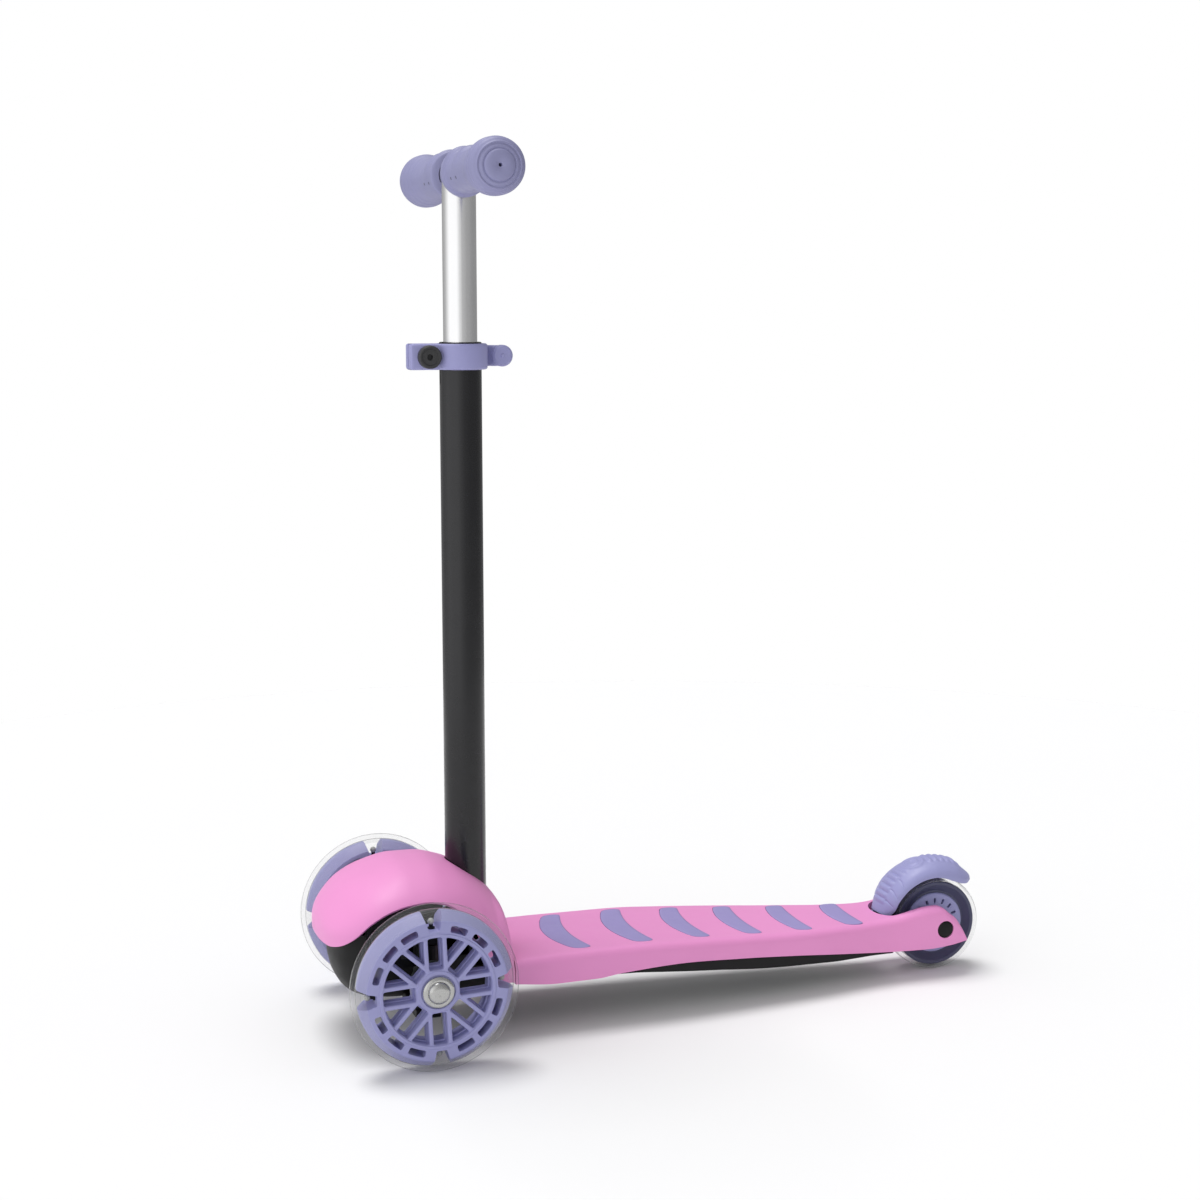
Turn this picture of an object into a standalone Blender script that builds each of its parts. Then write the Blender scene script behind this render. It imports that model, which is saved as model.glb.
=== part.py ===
"""Child's three-wheeled kick scooter that steers by leaning its handlebar column.

Units are metres. +Z is up, the rider faces -Y, and the rider's left is +X.
The origin is on the ground, under the middle of the scooter's box.
"""

from math import atan2, cos, hypot, pi, sin

import bmesh
import bpy
from mathutils import Matrix, Vector

MM = 0.001
GAP = 0.3 * MM

# Wheels
FRONT_AXLE_Y = -202.3 * MM
FRONT_RADIUS = 60 * MM
FRONT_TRACK = 194 * MM
FRONT_TYRE_WIDTH = 24 * MM
FRONT_CORE_RADIUS = 56 * MM
FRONT_CORE_WIDTH = 20 * MM
WHEELBASE = 432.7 * MM
REAR_RADIUS = 38 * MM
REAR_TYRE_WIDTH = 24 * MM
REAR_CORE_RADIUS = 34 * MM
REAR_CORE_WIDTH = 20 * MM
AXLE_RADIUS = 4 * MM
BEARING_RADIUS = 8 * MM
BEARING_WIDTH = 5 * MM

# Column and handlebar
COLUMN_BEHIND_AXLE = 47.4 * MM
OUTER_TUBE_RADIUS = 15.2 * MM
OUTER_TUBE_BORE = 13.7 * MM
OUTER_TUBE_TOP = 498 * MM
OUTER_TUBE_FOOT = 60 * MM
INNER_TUBE_RADIUS = 12.2 * MM
INNER_TUBE_BORE = 11 * MM
INNER_TUBE_FOOT = 250 * MM
HANDLEBAR_HEIGHT = 622 * MM
CROSSBAR_RADIUS = 11 * MM
CROSSBAR_HALF = 100 * MM
COLLAR_LOW = 484.5 * MM
COLLAR_HIGH = 503 * MM

# Lean-to-steer front end
PIVOT_HEIGHT = 45 * MM
KINGPIN_X = 70 * MM
KINGPIN_RADIUS = 4 * MM
STEER_ARM = 26 * MM
TIE_ROD_HEIGHT = 78 * MM
CHASSIS_HALF = 46 * MM
PIVOT_PIN_RADIUS = 4 * MM
SPRING_X = 22 * MM
SPRING_BEHIND = 22 * MM
SPRING_LOW = 34.4 * MM
SPRING_HIGH = 57.6 * MM
TONGUE_HALF = 34 * MM
TONGUE_LOW = 36 * MM
TONGUE_HIGH = 41 * MM

# Hood over the front end
HOOD_FRONT = -66 * MM
HOOD_SEAM = 70 * MM
HOOD_HALF = 66 * MM
HOOD_SEAM_HALF = 54.5 * MM
HOOD_NOSE = 52 * MM
HOOD_BOTTOM = 42 * MM
HOOD_WALL = 2.6 * MM

# Deck
DECK_WALL = 3 * MM
DECK_EDGE_RADIUS = 6 * MM
FORK_INNER = 20.5 * MM
FORK_OUTER = 28.5 * MM
BRAKE_PIN = (387 * MM, 45 * MM)

COLOURS = {
    "pink_plastic": ((0.84, 0.31, 0.62), 0.42, 0.0, 1.0),
    "lilac_plastic": ((0.36, 0.35, 0.62), 0.5, 0.0, 1.0),
    "black_plastic": ((0.02, 0.02, 0.022), 0.5, 0.0, 1.0),
    "black_paint": ((0.025, 0.025, 0.03), 0.35, 0.3, 1.0),
    "steel": ((0.62, 0.62, 0.64), 0.28, 1.0, 1.0),
    "clear_tyre": ((0.86, 0.87, 0.88), 0.2, 0.0, 0.4),
    "board": ((0.05, 0.2, 0.1), 0.5, 0.0, 1.0),
}
MATERIALS = {}
PARTS = bpy.data.collections.new("kick_scooter")
HELPERS = bpy.data.collections.new("cutters")


# ---------------------------------------------------------------- helpers


def clear_scene():
    for obj in list(bpy.data.objects):
        bpy.data.objects.remove(obj, do_unlink=True)
    for collection in (PARTS, HELPERS):
        bpy.context.scene.collection.children.link(collection)


def make_materials():
    for name, (colour, roughness, metallic, alpha) in COLOURS.items():
        made = bpy.data.materials.new(name)
        made.use_nodes = True
        shader = made.node_tree.nodes["Principled BSDF"]
        shader.inputs["Base Color"].default_value = (*colour, 1)
        shader.inputs["Roughness"].default_value = roughness
        shader.inputs["Metallic"].default_value = metallic
        shader.inputs["Alpha"].default_value = alpha
        MATERIALS[name] = made


def behind(distance):
    """Y of a point this far behind the front axle."""
    return FRONT_AXLE_Y + distance


def add(name, mesh, material, place=(0, 0, 0)):
    """A part, or a hidden helper if it has no material."""
    obj = bpy.data.objects.new(name, mesh)
    obj.location = place
    if material:
        PARTS.objects.link(obj)
        mesh.materials.append(MATERIALS[material])
        mesh.shade_smooth()
        mesh.set_sharp_from_angle(angle=0.6)
    else:
        HELPERS.objects.link(obj)
        obj.hide_render = True
        obj.display_type = "WIRE"
    return obj


def mesh_from(name, bm):
    bmesh.ops.recalc_face_normals(bm, faces=bm.faces)
    mesh = bpy.data.meshes.new(name)
    bm.to_mesh(mesh)
    bm.free()
    return mesh


def turn_towards(axis):
    """Rotation that takes local Z to the named axis."""
    if axis == "X":
        return Matrix.Rotation(pi / 2, 4, "Y")
    if axis == "Y":
        return Matrix.Rotation(-pi / 2, 4, "X")
    return Matrix.Identity(4)


def box(name, low, high, material=None, bevel=0.0):
    """A block between two corners, with its edges rounded if bevel is given."""
    low, high = Vector(low), Vector(high)
    bm = bmesh.new()
    bmesh.ops.create_cube(bm, size=1)
    bmesh.ops.scale(bm, vec=high - low, verts=bm.verts)
    obj = add(name, mesh_from(name, bm), material, (low + high) / 2)
    if bevel:
        round_edges(obj, bevel)
    return obj


def round_edges(obj, width, segments=2):
    made = obj.modifiers.new("round_edges", "BEVEL")
    made.width = width
    made.segments = segments
    made.limit_method = "ANGLE"
    made.angle_limit = 0.6


def rod(name, radius, start, length, axis, material=None, sides=20):
    """A cylinder that runs for a length along an axis from its start."""
    bm = bmesh.new()
    bmesh.ops.create_cone(
        bm, cap_ends=True, segments=sides, radius1=radius, radius2=radius, depth=length
    )
    bmesh.ops.translate(bm, vec=(0, 0, length / 2), verts=bm.verts)
    bmesh.ops.transform(bm, matrix=turn_towards(axis), verts=bm.verts)
    return add(name, mesh_from(name, bm), material, start)


def turned(name, profile, centre, axis, material=None, steps=32):
    """A solid of revolution. The profile is (radius, height), down its outer side and up its inner side."""
    mesh = bpy.data.meshes.new(name)
    count = len(profile)
    closed = all(radius > 0 for radius, _ in profile)
    edges = [(i, (i + 1) % count) for i in range(count if closed else count - 1)]
    mesh.from_pydata([(radius, 0, height) for radius, height in profile], edges, [])
    obj = bpy.data.objects.new(name, mesh)
    screw = obj.modifiers.new("turn", "SCREW")
    screw.steps = screw.render_steps = steps
    screw.use_merge_vertices = True
    screw.merge_threshold = 0.00001
    HELPERS.objects.link(obj)
    solid = evaluated_mesh(obj)
    bpy.data.objects.remove(obj)
    solid.transform(turn_towards(axis))
    return add(name, solid, material, centre)


def evaluated_mesh(obj):
    """The object's mesh with its modifiers applied and its loose seams welded."""
    graph = bpy.context.evaluated_depsgraph_get()
    mesh = bpy.data.meshes.new_from_object(obj.evaluated_get(graph))
    bm = bmesh.new()
    bm.from_mesh(mesh)
    bmesh.ops.remove_doubles(bm, verts=bm.verts, dist=0.000001)
    bmesh.ops.recalc_face_normals(bm, faces=bm.faces)
    bm.to_mesh(mesh)
    bm.free()
    mesh.materials.clear()
    return mesh


def ring(name, outer, inner, width, centre, axis, material=None, steps=32):
    """A plain ring or sleeve, centred on its place."""
    half = width / 2
    profile = [(outer, half), (outer, -half), (inner, -half), (inner, half)]
    return turned(name, profile, centre, axis, material, steps)


def plate(name, outlines, thickness, centre, axis="Z", material=None):
    """A flat piece from closed 2D outlines, the later ones being holes in the first."""
    curve = bpy.data.curves.new(name, "CURVE")
    curve.dimensions = "2D"
    curve.fill_mode = "BOTH"
    curve.extrude = thickness / 2
    for outline in outlines:
        spline = curve.splines.new("POLY")
        spline.points.add(len(outline) - 1)
        spline.use_cyclic_u = True
        for point, (x, y) in zip(spline.points, outline):
            point.co = (x, y, 0, 1)
    solid = curve_solid(curve)
    solid.transform(turn_towards(axis))
    return add(name, solid, material, centre)


def curve_solid(curve):
    """The closed mesh that a curve makes."""
    obj = bpy.data.objects.new(curve.name, curve)
    HELPERS.objects.link(obj)
    solid = evaluated_mesh(obj)
    bpy.data.objects.remove(obj)
    return solid


def wire(name, points, thickness, place):
    """A round steel wire through points."""
    curve = bpy.data.curves.new(name, "CURVE")
    curve.dimensions = "3D"
    curve.bevel_depth = thickness / 2
    curve.bevel_resolution = 0
    curve.use_fill_caps = True
    spline = curve.splines.new("POLY")
    spline.points.add(len(points) - 1)
    for target, point in zip(spline.points, points):
        target.co = (*point, 1)
    return add(name, curve_solid(curve), "steel", place)


def side_plate(name, outline, low_x, high_x, material=None):
    """A piece cut from a sheet that stands along the scooter. The outline is (y, z)."""
    flat = [(-z, y) for y, z in outline]
    return plate(name, [flat], high_x - low_x, ((low_x + high_x) / 2, 0, 0), "X", material)


def loft(name, rings, material=None):
    """A closed skin through rings of equal count, capped at both ends."""
    bm = bmesh.new()
    rows = [[bm.verts.new(point) for point in points] for points in rings]
    count = len(rows[0])
    for near, far in zip(rows, rows[1:]):
        for i in range(count):
            j = (i + 1) % count
            bm.faces.new((near[i], near[j], far[j], far[i]))
    bm.faces.new(rows[0])
    bm.faces.new(rows[-1])
    return add(name, mesh_from(name, bm), material)


def combine(obj, operation, others):
    for other in others:
        made = obj.modifiers.new(other.name, "BOOLEAN")
        made.operation = operation
        made.object = other
    return obj


def cut(obj, *others):
    return combine(obj, "DIFFERENCE", others)


def join(obj, *others):
    return combine(obj, "UNION", others)


def along(table, at):
    """A smooth value between the (position, value) pairs of a table."""
    if at <= table[0][0]:
        return table[0][1]
    for (a, low), (b, high) in zip(table, table[1:]):
        if at <= b:
            t = (at - a) / (b - a)
            return low + (high - low) * t * t * (3 - 2 * t)
    return table[-1][1]


def straight(table, at):
    """A value on the straight lines between the pairs of a table."""
    for (a, low), (b, high) in zip(table, table[1:]):
        if at <= b:
            return low + (high - low) * max(0.0, (at - a) / (b - a))
    return table[-1][1]


def polar(radius, angle):
    return radius * cos(angle), radius * sin(angle)


def hang(pivot_name, place, *objects):
    """Parents objects to an empty that stands on their joint's axis."""
    pivot = bpy.data.objects.new(pivot_name, None)
    pivot.location = place
    PARTS.objects.link(pivot)
    for obj in objects:
        obj.parent = pivot
        obj.matrix_parent_inverse = Matrix.Translation(-Vector(place))


# ---------------------------------------------------------------- front wheels

NOTCH_ANGLES = [0.05 + i * pi / 2 for i in range(4)]
# Radius and distance from the wheel's middle plane, in millimetres
CORE_SHOULDER = [(49, 11), (55.7, 3)]
TREAD = [(52, 11.6), (57.5, 8.6), (60, 2.5)]
SPOKE_PAIRS = 8


def front_core_outline():
    """The disc that the barrel-shaped rim is trimmed from, with a tapering notch at each quarter."""
    points = []
    notch_half = 0.105
    steps = 5
    for start in NOTCH_ANGLES:
        points.append(polar(46 * MM, start))
        for i in range(steps + 1):
            angle = start + notch_half + (pi / 2 - 2 * notch_half) * i / steps
            points.append(polar(FRONT_CORE_RADIUS + 3 * MM, angle))
    return points


def both_sides(half_profile, shift=0.0):
    """A profile on one side of the middle plane, continued down the other side."""
    above = [(radius * MM + shift, x * MM) for radius, x in half_profile]
    return above + [(radius, -x) for radius, x in reversed(above)]


def arc_slot(low, high, centre, half_angle, steps=3):
    """A window between two radii, with its corners cut."""
    cut_angle = 0.3 * min((high - low) / high, half_angle)
    inner = [polar(low, centre - half_angle + 2 * half_angle * i / steps) for i in range(steps + 1)]
    outer = [polar(high, centre + half_angle - 2 * half_angle * i / steps) for i in range(steps + 1)]
    inner[0] = polar(low, centre - half_angle + cut_angle)
    inner[-1] = polar(low, centre + half_angle - cut_angle)
    outer[0] = polar(high, centre + half_angle - cut_angle)
    outer[-1] = polar(high, centre - half_angle + cut_angle)
    return inner + outer


def front_core_windows():
    windows = []
    for start in NOTCH_ANGLES:
        for step in (-1, 0, 1):
            windows.append(arc_slot(42.5 * MM, 47 * MM, start + pi / 4 + step * 0.39, 0.11, 2))
    for pair in range(SPOKE_PAIRS):
        between = (pair + 0.5) * 2 * pi / SPOKE_PAIRS
        windows.append(arc_slot(19 * MM, 38.5 * MM, between, 0.15))
        within = pair * 2 * pi / SPOKE_PAIRS
        windows.append(arc_slot(21 * MM, 36 * MM, within, 0.09, 2))
    return windows


def front_wheel(side, sign):
    """One front wheel with its bearings and the light ring inside its core."""
    centre = (sign * FRONT_TRACK / 2, FRONT_AXLE_Y, FRONT_RADIUS)
    core = plate(
        f"front_core_{side}",
        [front_core_outline(), *front_core_windows()],
        FRONT_CORE_WIDTH,
        centre,
        "X",
        "lilac_plastic",
    )
    bore = BEARING_RADIUS + GAP
    seat = FRONT_CORE_WIDTH / 2
    shoulder = 3 * MM
    bore_cutter = turned(
        f"core_bore_{side}",
        [
            (bore, seat + 2 * MM),
            (bore, shoulder),
            (AXLE_RADIUS + 1.2 * MM, shoulder),
            (AXLE_RADIUS + 1.2 * MM, -shoulder),
            (bore, -shoulder),
            (bore, -seat - 2 * MM),
            (0, -seat - 2 * MM),
            (0, seat + 2 * MM),
        ],
        centre,
        "X",
        steps=16,
    )
    inner_face = sign * -1
    pocket_x = centre[0] + inner_face * (seat - 2 * MM)
    pocket = ring(
        f"light_pocket_{side}", 17 * MM, 11.5 * MM, 6 * MM, (pocket_x, *centre[1:]), "X", steps=20
    )
    rim = both_sides(CORE_SHOULDER)
    solid_rim = [(0, rim[0][1]), *rim, (0, rim[-1][1])]
    barrel = turned(f"core_barrel_{side}", solid_rim, centre, "X", steps=40)
    combine(core, "INTERSECT", [barrel])
    cut(core, bore_cutter, pocket)
    band = both_sides(TREAD) + both_sides(CORE_SHOULDER, GAP * 1.3)[::-1]
    tyre = turned(f"front_tyre_{side}", band, centre, "X", "clear_tyre", 40)
    pieces = [core, tyre]
    for place, offset in (("outer", 1), ("inner", -1)):
        x = centre[0] + sign * offset * (shoulder + GAP + BEARING_WIDTH / 2)
        pieces.append(
            ring(
                f"front_bearing_{place}_{side}",
                BEARING_RADIUS,
                AXLE_RADIUS + GAP,
                BEARING_WIDTH,
                (x, *centre[1:]),
                "X",
                "steel",
                16,
            )
        )
    light_x = centre[0] + inner_face * (seat - 2.6 * MM)
    pieces.append(
        ring(
            f"light_ring_{side}",
            16.6 * MM,
            11.9 * MM,
            3.8 * MM,
            (light_x, *centre[1:]),
            "X",
            "board",
            20,
        )
    )
    hang(f"front_wheel_axis_{side}", centre, *pieces)


def knuckle(side, sign):
    """The upright that turns on a kingpin, and the bolt that the wheel runs on."""
    place = (sign * KINGPIN_X, FRONT_AXLE_Y)
    low, high = 38 * MM, 83.4 * MM
    upright = rod(f"knuckle_{side}", 9 * MM, (*place, low), high - low, "Z", "black_plastic")
    stub_length = 13.8 * MM
    stub_start = place[0] if sign > 0 else place[0] - stub_length
    stub = rod(
        f"stub_{side}", 9 * MM, (stub_start, FRONT_AXLE_Y, FRONT_RADIUS), stub_length, "X"
    )
    pin_y = FRONT_AXLE_Y - STEER_ARM
    arm_low, arm_high = 69 * MM, 75 * MM
    arm = box(
        f"steer_arm_{side}",
        (place[0] - 5 * MM, pin_y - 5 * MM, arm_low),
        (place[0] + 5 * MM, FRONT_AXLE_Y, arm_high),
    )
    pin = rod(f"arm_pin_{side}", 3 * MM, (place[0], pin_y, arm_low), 14 * MM, "Z", sides=12)
    bore = rod(
        f"kingpin_bore_{side}", KINGPIN_RADIUS + GAP, (*place, 20 * MM), 80 * MM, "Z", sides=16
    )
    thread_start = place[0] + sign * 6.5 * MM
    thread = rod(
        f"axle_thread_{side}",
        AXLE_RADIUS + GAP,
        (thread_start if sign > 0 else thread_start - 20 * MM, FRONT_AXLE_Y, FRONT_RADIUS),
        20 * MM,
        "X",
        sides=16,
    )
    cut(join(upright, stub, arm, pin), bore, thread)
    hang(f"steer_axis_{side}", (*place, PIVOT_HEIGHT), upright)

    reach = FRONT_TRACK / 2 - KINGPIN_X
    shank_start = 7 * MM
    face = reach + FRONT_TYRE_WIDTH / 2 + 0.3 * MM
    bolt = turned(
        f"front_axle_{side}",
        [
            (0, face + 4.2 * MM),
            (5 * MM, face + 3.8 * MM),
            (8.2 * MM, face + 2.2 * MM),
            (9.8 * MM, face),
            (9.8 * MM, face - 1.5 * MM),
            (AXLE_RADIUS, face - 1.5 * MM),
            (AXLE_RADIUS, shank_start),
            (0, shank_start),
        ],
        (0, 0, 0),
        "X",
        "steel",
        24,
    )
    bolt.location = (place[0], FRONT_AXLE_Y, FRONT_RADIUS)
    bolt.rotation_euler = (0, 0, 0 if sign > 0 else pi)

    kingpin = turned(
        f"kingpin_{side}",
        [
            (0, 95 * MM),
            (4.5 * MM, 95 * MM),
            (6.5 * MM, 93.5 * MM),
            (6.5 * MM, 90.4 * MM),
            (KINGPIN_RADIUS, 90.4 * MM),
            (KINGPIN_RADIUS, 29 * MM),
            (0, 29 * MM),
        ],
        (*place, 0),
        "Z",
        "steel",
        16,
    )
    return kingpin


# ---------------------------------------------------------------- chassis


def nose_plan(front, half, nose, back, back_half, corners=6):
    """Plan outline from the middle of the front round the left side to the back."""
    points = []
    for i in range(corners + 1):
        t = pi / 2 * i / corners
        x = half * sin(t) ** 0.8
        y = front + nose - nose * cos(t) ** 0.8
        points.append((x, y))
    points.append(((half + 2 * back_half) / 3, (front + nose + 2 * back) / 3))
    points.append((back_half, back))
    return points


def mirrored(half_outline):
    """Closes an outline that starts on the middle plane with its mirror image."""
    return half_outline + [(-x, y) for x, y in reversed(half_outline) if x > 1e-6]


def tub_ring(inset, height, wall=0.0):
    plan = mirrored(
        nose_plan(
            -57 * MM + inset + wall,
            CHASSIS_HALF - inset - wall,
            38 * MM,
            65 * MM - wall - 0.2 * inset,
            CHASSIS_HALF - inset - wall,
        )
    )
    return [(x, behind(y), height) for x, y in plan]


def spring_rod(name, radius, low, sign):
    """An upright cylinder on the line of one centring spring."""
    return rod(name, radius, (sign * SPRING_X, behind(SPRING_BEHIND), low), 5 * MM, "Z", sides=16)


def front_chassis():
    """The belly tub with its kingpin arms, pivot lugs and the tongue under the deck."""
    top = 84 * MM
    tub = loft(
        "front_chassis",
        [
            tub_ring(20 * MM, 31 * MM),
            tub_ring(13 * MM, 34 * MM),
            tub_ring(7 * MM, 40 * MM),
            tub_ring(3 * MM, 48 * MM),
            tub_ring(0, 64 * MM),
            tub_ring(0, top),
        ],
        "black_plastic",
    )
    wall = 2.5 * MM
    hollow = loft(
        "tub_hollow",
        [
            tub_ring(18 * MM, 34.6 * MM, wall),
            tub_ring(11.5 * MM, 37.5 * MM, wall),
            tub_ring(5.5 * MM, 44.5 * MM, wall),
            tub_ring(0, 64 * MM, wall),
            tub_ring(0, top + 4 * MM, wall),
        ],
    )
    rear_step = box(
        "tub_rear_step", (-60 * MM, behind(40 * MM), 54 * MM), (60 * MM, behind(80 * MM), 95 * MM)
    )
    pockets = [spring_rod("spring_pocket", 6.8 * MM, 34.1 * MM, sign) for sign in (1, -1)]
    cut(tub, hollow, rear_step, *pockets)
    joined = [spring_rod("spring_seat", 3 * MM, 33 * MM, sign) for sign in (1, -1)]
    cutters = []
    for side, sign in (("left", 1), ("right", -1)):
        inner, outer = sorted((sign * (CHASSIS_HALF - wall), sign * CHASSIS_HALF))
        joined.append(
            box(
                f"arch_wall_{side}",
                (inner, behind(-38 * MM), 60 * MM),
                (outer, behind(38 * MM), 99 * MM),
            )
        )
        for level, root, low, high in (("lower", 31, 30.5, 37.5), ("upper", 44, 83.9, 90)):
            near, far = sorted((sign * root * MM, sign * (KINGPIN_X + 8 * MM)))
            joined.append(
                box(
                    f"arm_{level}_{side}",
                    (near, behind(-9 * MM), low * MM),
                    (far, behind(9 * MM), high * MM),
                )
            )
        cutters.append(
            rod(
                f"arm_bore_{side}",
                KINGPIN_RADIUS + GAP,
                (sign * KINGPIN_X, FRONT_AXLE_Y, 20 * MM),
                80 * MM,
                "Z",
                sides=16,
            )
        )
    window = box(
        "tie_rod_window",
        (-60 * MM, behind(-STEER_ARM - 8 * MM), 71 * MM),
        (60 * MM, behind(-STEER_ARM + 8 * MM), 88 * MM),
    )
    cutters.append(window)
    for lug, (start, end) in (("front", (-19, -12)), ("rear", (59.5, 64.5))):
        joined.append(
            box(
                f"pivot_lug_{lug}",
                (-10 * MM, behind(start * MM), 33 * MM),
                (10 * MM, behind(end * MM), 52 * MM),
            )
        )
    joined.append(
        box(
            "tongue",
            (-TONGUE_HALF, behind(60.5 * MM), TONGUE_LOW),
            (TONGUE_HALF, behind(130 * MM), TONGUE_HIGH),
        )
    )
    cutters.append(
        rod("pin_bore", PIVOT_PIN_RADIUS + GAP, (0, behind(-30 * MM), PIVOT_HEIGHT), 0.1, "Y", sides=16)
    )
    for place in deck_screws()[:2]:
        cutters.append(rod("tongue_hole", 2.4 * MM, (*place, 25 * MM), 20 * MM, "Z", sides=12))
    join(tub, *joined)
    cut(tub, *cutters)
    return tub


# ---------------------------------------------------------------- steering head


def steering_head():
    """The socket that holds the column, on its sleeve along the lean pivot."""
    column = (0, behind(COLUMN_BEHIND_AXLE))
    head = rod("steering_head", 18.2 * MM, (*column, 47 * MM), 36 * MM, "Z", "black_plastic", 24)
    trim = box(
        "head_trim", (-30 * MM, behind(58.9 * MM), 30 * MM), (30 * MM, behind(75 * MM), 57.3 * MM)
    )
    sleeve = rod(
        "pivot_sleeve", 9 * MM, (0, behind(-11.5 * MM), PIVOT_HEIGHT), 70.4 * MM, "Y"
    )
    wing = box(
        "spring_wing",
        (-SPRING_X - 6 * MM, behind(SPRING_BEHIND - 6 * MM), 58 * MM),
        (SPRING_X + 6 * MM, behind(SPRING_BEHIND + 8 * MM), 63 * MM),
    )
    web = box("head_web", (-5 * MM, behind(-11 * MM), 50 * MM), (5 * MM, behind(40 * MM), 74 * MM))
    finger_y = behind(-STEER_ARM - 7 * MM)
    post = box("finger_post", (-6 * MM, behind(-11 * MM), 60 * MM), (6 * MM, behind(0), 84 * MM))
    finger = rod(
        "finger", 3.5 * MM, (0, finger_y, TIE_ROD_HEIGHT), STEER_ARM + 2 * MM, "Y", sides=12
    )
    socket = rod(
        "column_socket",
        OUTER_TUBE_RADIUS + GAP,
        (*column, OUTER_TUBE_FOOT - 2 * GAP),
        60 * MM,
        "Z",
        sides=28,
    )
    pin_bore = rod(
        "head_pin_bore",
        PIVOT_PIN_RADIUS + GAP,
        (0, behind(-30 * MM), PIVOT_HEIGHT),
        0.11,
        "Y",
        sides=16,
    )
    bolt_bore = rod(
        "head_bolt_bore", 2.4 * MM, (-30 * MM, column[1], 76 * MM), 60 * MM, "X", sides=12
    )
    join(head, sleeve, wing, web, post, finger)
    cut(head, trim, socket, pin_bore, bolt_bore)
    return head


def pivot_pin():
    """The steel pin that the steering head leans on."""
    start, end = behind(-21.5 * MM), behind(66.3 * MM)
    return turned(
        "lean_pin",
        [
            (0, end - start),
            (PIVOT_PIN_RADIUS, end - start),
            (PIVOT_PIN_RADIUS, 2 * MM),
            (6.5 * MM, 2 * MM),
            (6.5 * MM, 0),
            (0, 0),
        ],
        (0, start, PIVOT_HEIGHT),
        "Y",
        "steel",
        16,
    )


def centring_spring(side, sign):
    """The compression spring that pushes the leaning head back upright."""
    turns, per_turn = 4, 8
    count = turns * per_turn
    thickness = 1.5 * MM
    low, high = SPRING_LOW + thickness / 2, SPRING_HIGH - thickness / 2
    points = []
    for i in range(count + 1):
        x, y = polar(5 * MM, 2 * pi * i / per_turn)
        points.append((x, y, low + (high - low) * i / count))
    place = (sign * SPRING_X, behind(SPRING_BEHIND), 0)
    return wire(f"centring_spring_{side}", points, thickness, place)


# ---------------------------------------------------------------- hood

HOOD_CROWN = [
    (-66, 82),
    (-64, 91),
    (-56, 102.5),
    (-42, 115.5),
    (-25, 123.5),
    (-4, 128.5),
    (12, 128.5),
    (30, 124.5),
    (47, 115.5),
    (60, 104),
    (65, 96.5),
    (68.6, 82),
    (70, 57.6),
]
HOOD_BELT = [(-66, 82), (-20, 86), (20, 82), (50, 66), (70, 49)]
HOOD_LOWER_EDGE = [
    (-80, 76),
    (-62, 76),
    (-56, 79.5),
    (-49, 85.5),
    (-37, 97),
    (-23, 104.5),
    (-9, 108),
    (5, 109),
    (17, 107),
    (29, 100),
    (40, 86),
    (47, 68),
    (50, 52),
    (52, 42),
    (52, 20),
    (-80, 20),
]


def hood_half_width(y):
    if y <= HOOD_FRONT:
        return 0.0
    if y < HOOD_FRONT + HOOD_NOSE:
        t = (HOOD_FRONT + HOOD_NOSE - y) / HOOD_NOSE
        return HOOD_HALF * (1 - t**2.5) ** 0.4
    return along([(HOOD_FRONT + HOOD_NOSE + 20 * MM, HOOD_HALF), (HOOD_SEAM, HOOD_SEAM_HALF)], y)


def hood_height(x, y):
    """Height of the dome over a point of its plan."""
    crown = straight(HOOD_CROWN, y / MM) * MM
    belt = straight(HOOD_BELT, y / MM) * MM
    half = hood_half_width(y)
    if half < 1e-6:
        return belt
    power = along([(20, 2.2), (58, 2.5), (70, 6)], y / MM)
    share = min(1.0, abs(x) / half)
    return belt + (crown - belt) * (1 - share**power) ** (1 / 2.2)


def hood_plan():
    """Outer outline of the dome, anticlockwise from the middle of the front."""
    half = []
    for i in range(8):
        t = pi / 2 * i / 7
        y = HOOD_FRONT + HOOD_NOSE * (1 - cos(t) ** 0.8)
        half.append((hood_half_width(y), y))
    for y in (4 * MM, 22 * MM, 40 * MM, 56 * MM):
        half.append((hood_half_width(y), y))
    half.append((HOOD_SEAM_HALF, HOOD_SEAM))
    half.append((34 * MM, HOOD_SEAM))
    half.append((14 * MM, HOOD_SEAM))
    half[0] = (0.0, HOOD_FRONT)
    rear_middle = [(0.0, HOOD_SEAM)]
    return half + rear_middle + [(-x, y) for x, y in reversed(half) if x > 0]


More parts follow.
